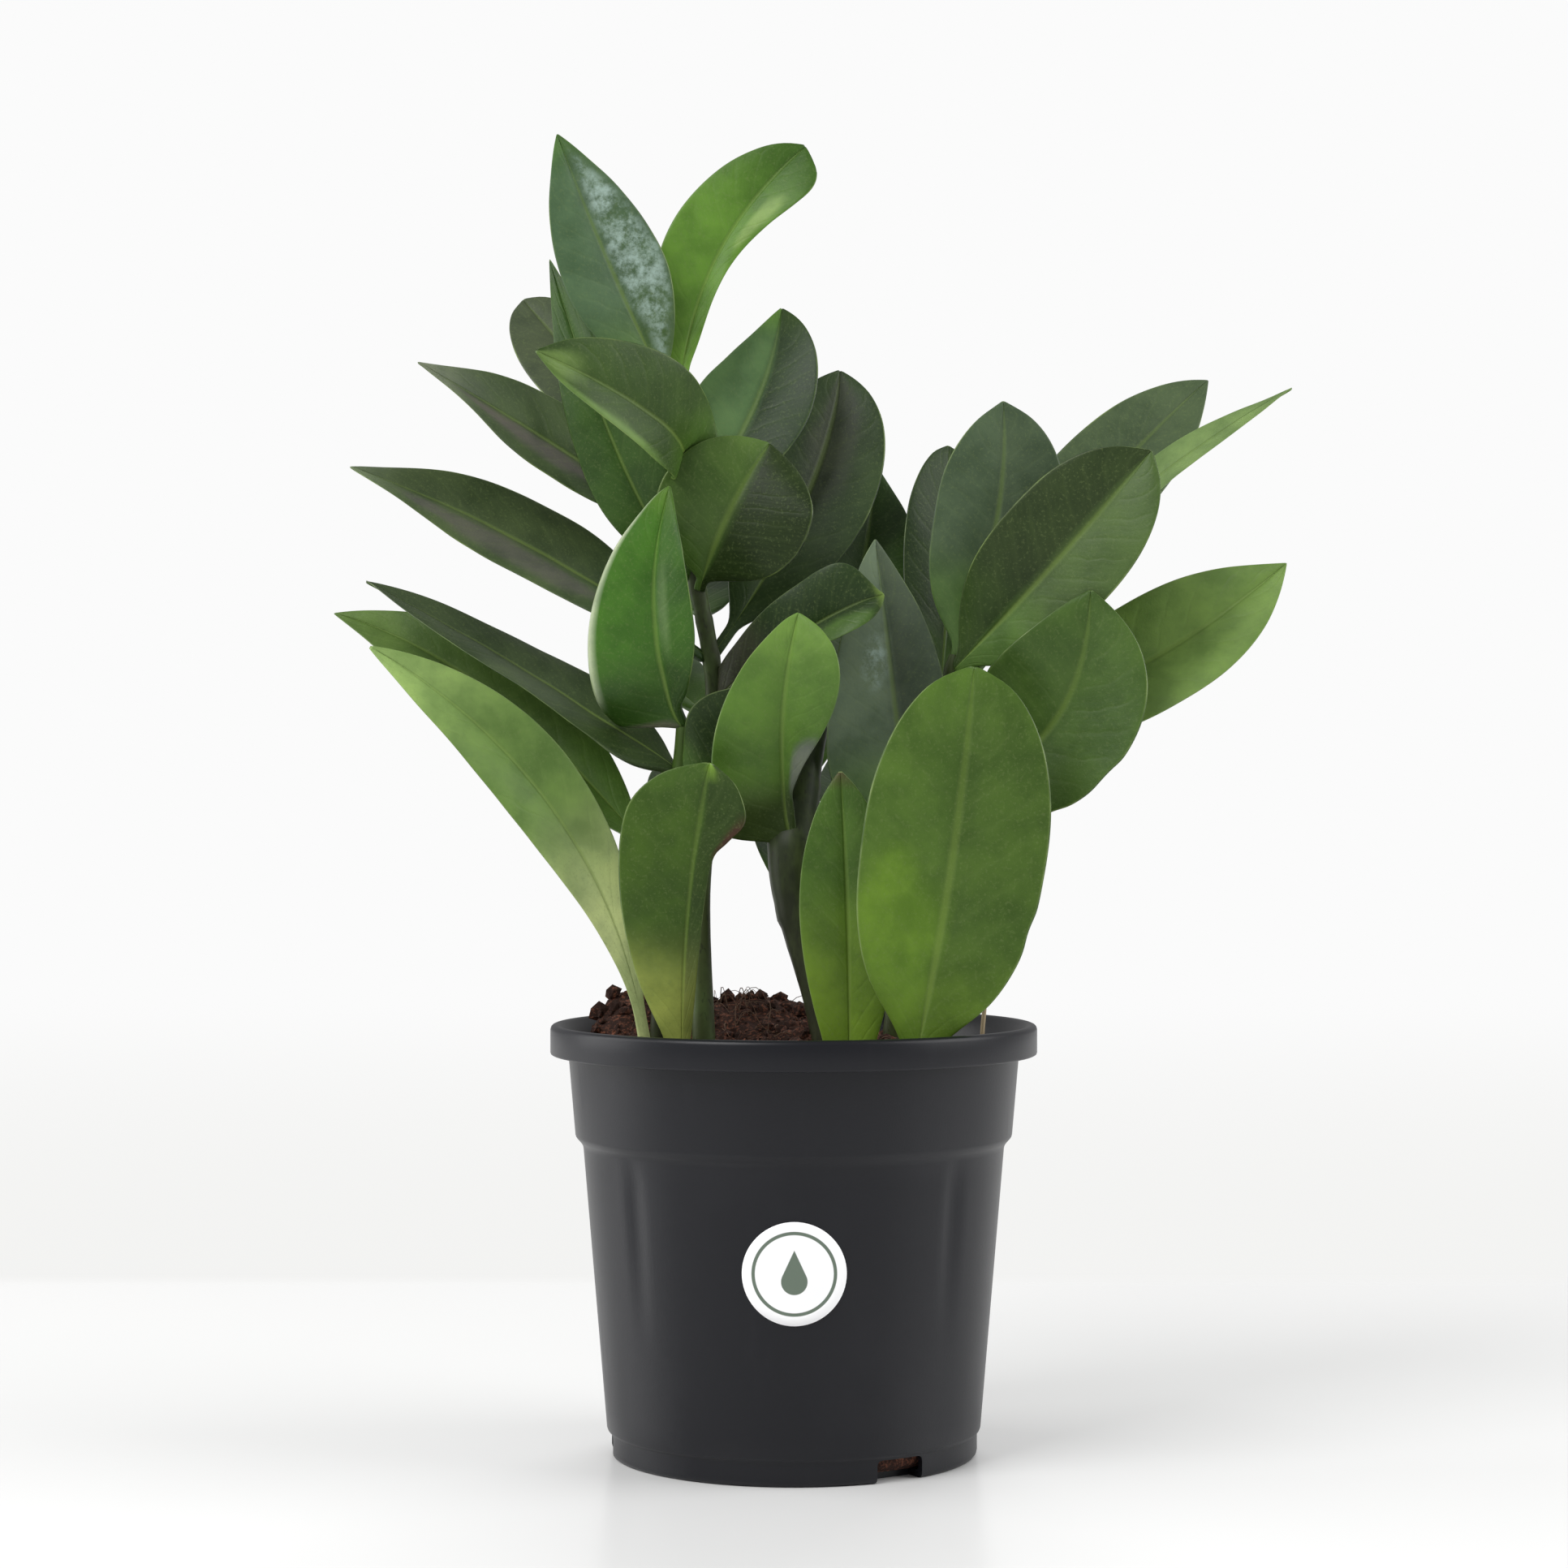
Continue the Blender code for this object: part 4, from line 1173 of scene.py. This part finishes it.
        footColour=(0.46, 0.54, 0.24), footReach=0.6, tipColour=(0.22, 0.33, 0.1), tipFrom=0.7,
    ),
    "leaf_soil_front": dict(
        root=(-27, -20), tip=(-20, -34, 170), width=36, face=(-0.1, -1, 0.2), bow=(-2, -1, -1),
        outline=("spade", "torn"), wide=(1.05, 0.68),
        nicks=((1, 0.8, 0.03, 1.6), (1, 0.76, 0.02, 1.1)), colour=(0.036, 0.076, 0.007),
        sides=(1.05, 0.55), footColour=(0.3, 0.36, 0.08), footReach=0.56,
        tipColour=(0.042, 0.085, 0.012),
        patches=(
            (1.0, 0.8, 0.34, 0.07, (0.04, 0.016, 0.008)),
            (0.2, 0.99, 0.5, 0.025, (0.14, 0.25, 0.03)),
        ),
    ),
    "leaf_soil_middle": dict(
        root=(13, -29), tip=(11, -30, 168), width=24, face=(0, -1, 0.15), bow=(1, 0, 0),
        outline="strap", colour=(0.05, 0.105, 0.014), footColour=(0.12, 0.21, 0.018),
        footReach=0.72, tipColour=(0.06, 0.05, 0.02), tipFrom=0.94,
    ),
    "leaf_soil_right": dict(
        root=(26, -37), tip=(43, -30, 193), width=45, face=(0.05, -1, 0.2), bow=(2, 0, 0),
        outline="oval", fold=9, nicks=((1, 0.44, 0.03, 2.2), (1, 0.41, 0.02, 1.0)),
        colour=(0.05, 0.098, 0.014), sides=(1.1, 0.92), footColour=(0.075, 0.14, 0.012),
        tipColour=(0.055, 0.11, 0.014), patches=((-0.55, 0.38, 0.6, 0.2, (0.095, 0.18, 0.016)),),
    ),
}
for leafName, leaf in leaves.items():
    if "root" in leaf:
        leafFoot = Vector((*leaf["root"], socketFloor))
    else:
        leafFoot = footOnStem(leafName, leaf)
    buildLeaf(leafName, leaf, leafFoot, Vector(leaf["tip"]))
print("leaves done:", len(leaves))


label = {
    "radius": 12.25,
    "thickness": 0.3,
    "lift": 0.15,  # off the pot's wall
    "rings": 6,
    "turns": 72,
    "ringRadius": 9.6,
    "ringWidth": 0.45,
    "dropRadius": 3.1,
    "dropHeight": 5.6,
    "dropDrop": 1.8,  # how far the round part's centre is below the label's
    "inkBlur": 0.08,
}


# White paper with a plain grey ring round a plain water drop.
def labelFinish():
    paper = Finish("labelPaper", Specular_IOR_Level=0.35)
    across, up, _ = paper.split(paper.node("UVMap", {"uv_map": "face"}))
    blur = label["inkBlur"]
    reach = (across * across + up * up) ** 0.5
    away = abs(reach - label["ringRadius"])
    ring = 1.0 - away.between(label["ringWidth"] * 0.7, label["ringWidth"] * 1.1)
    low = up + label["dropDrop"]
    lean = label["dropRadius"] / (label["dropHeight"] + label["dropDrop"])
    slope = math.sqrt(1 - lean * lean)
    bulb = (across * across + low * low) ** 0.5 - label["dropRadius"]
    cone = abs(across) * slope + (up - label["dropHeight"]) * lean
    inside = 1.0 - bulb.between(-blur, blur)
    above = (low - label["dropRadius"] * lean).between(-0.1, 0.1)
    cap = (1.0 - cone.between(-blur, blur)) * above
    mark = inside.math("MAXIMUM", cap).math("MAXIMUM", ring)
    fibre = paper.noise(1800.0, 3.0)
    paper.set(
        Base_Color=paper.mix(mark, (0.97, 0.97, 0.98), (0.13, 0.17, 0.13)),
        Roughness=0.5 + fibre * 0.1,
    )
    return paper.material


def buildLabel():
    low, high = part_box("label")
    middle = (low[2] + high[2]) / 2 / mm
    rings = label["rings"]
    spoke = [(label["radius"] * ring / rings, 0.0) for ring in range(rings + 1)]
    shape = turned(spoke, label["turns"])
    uvLayer = shape.loops.layers.uv.new("face")
    for face in shape.faces:
        for loop in face.loops:
            loop[uvLayer].uv = loop.vert.co.xy / mm
    for vert in shape.verts:
        x, up = vert.co.xy / mm
        outside = potRadius(middle + up) + label["lift"] + label["thickness"]
        vert.co = Vector((x, -math.sqrt(outside**2 - x * x), middle + up)) * mm
    mesh = meshOf(shape, "label_disc")
    piece = addPiece("label_disc", mesh, "label", "label", materials=[labelFinish()])
    body = piece.modifiers.new("thickness", "SOLIDIFY")
    body.thickness = label["thickness"] * mm
    body.offset = -1.0


buildLabel()
print("label done")
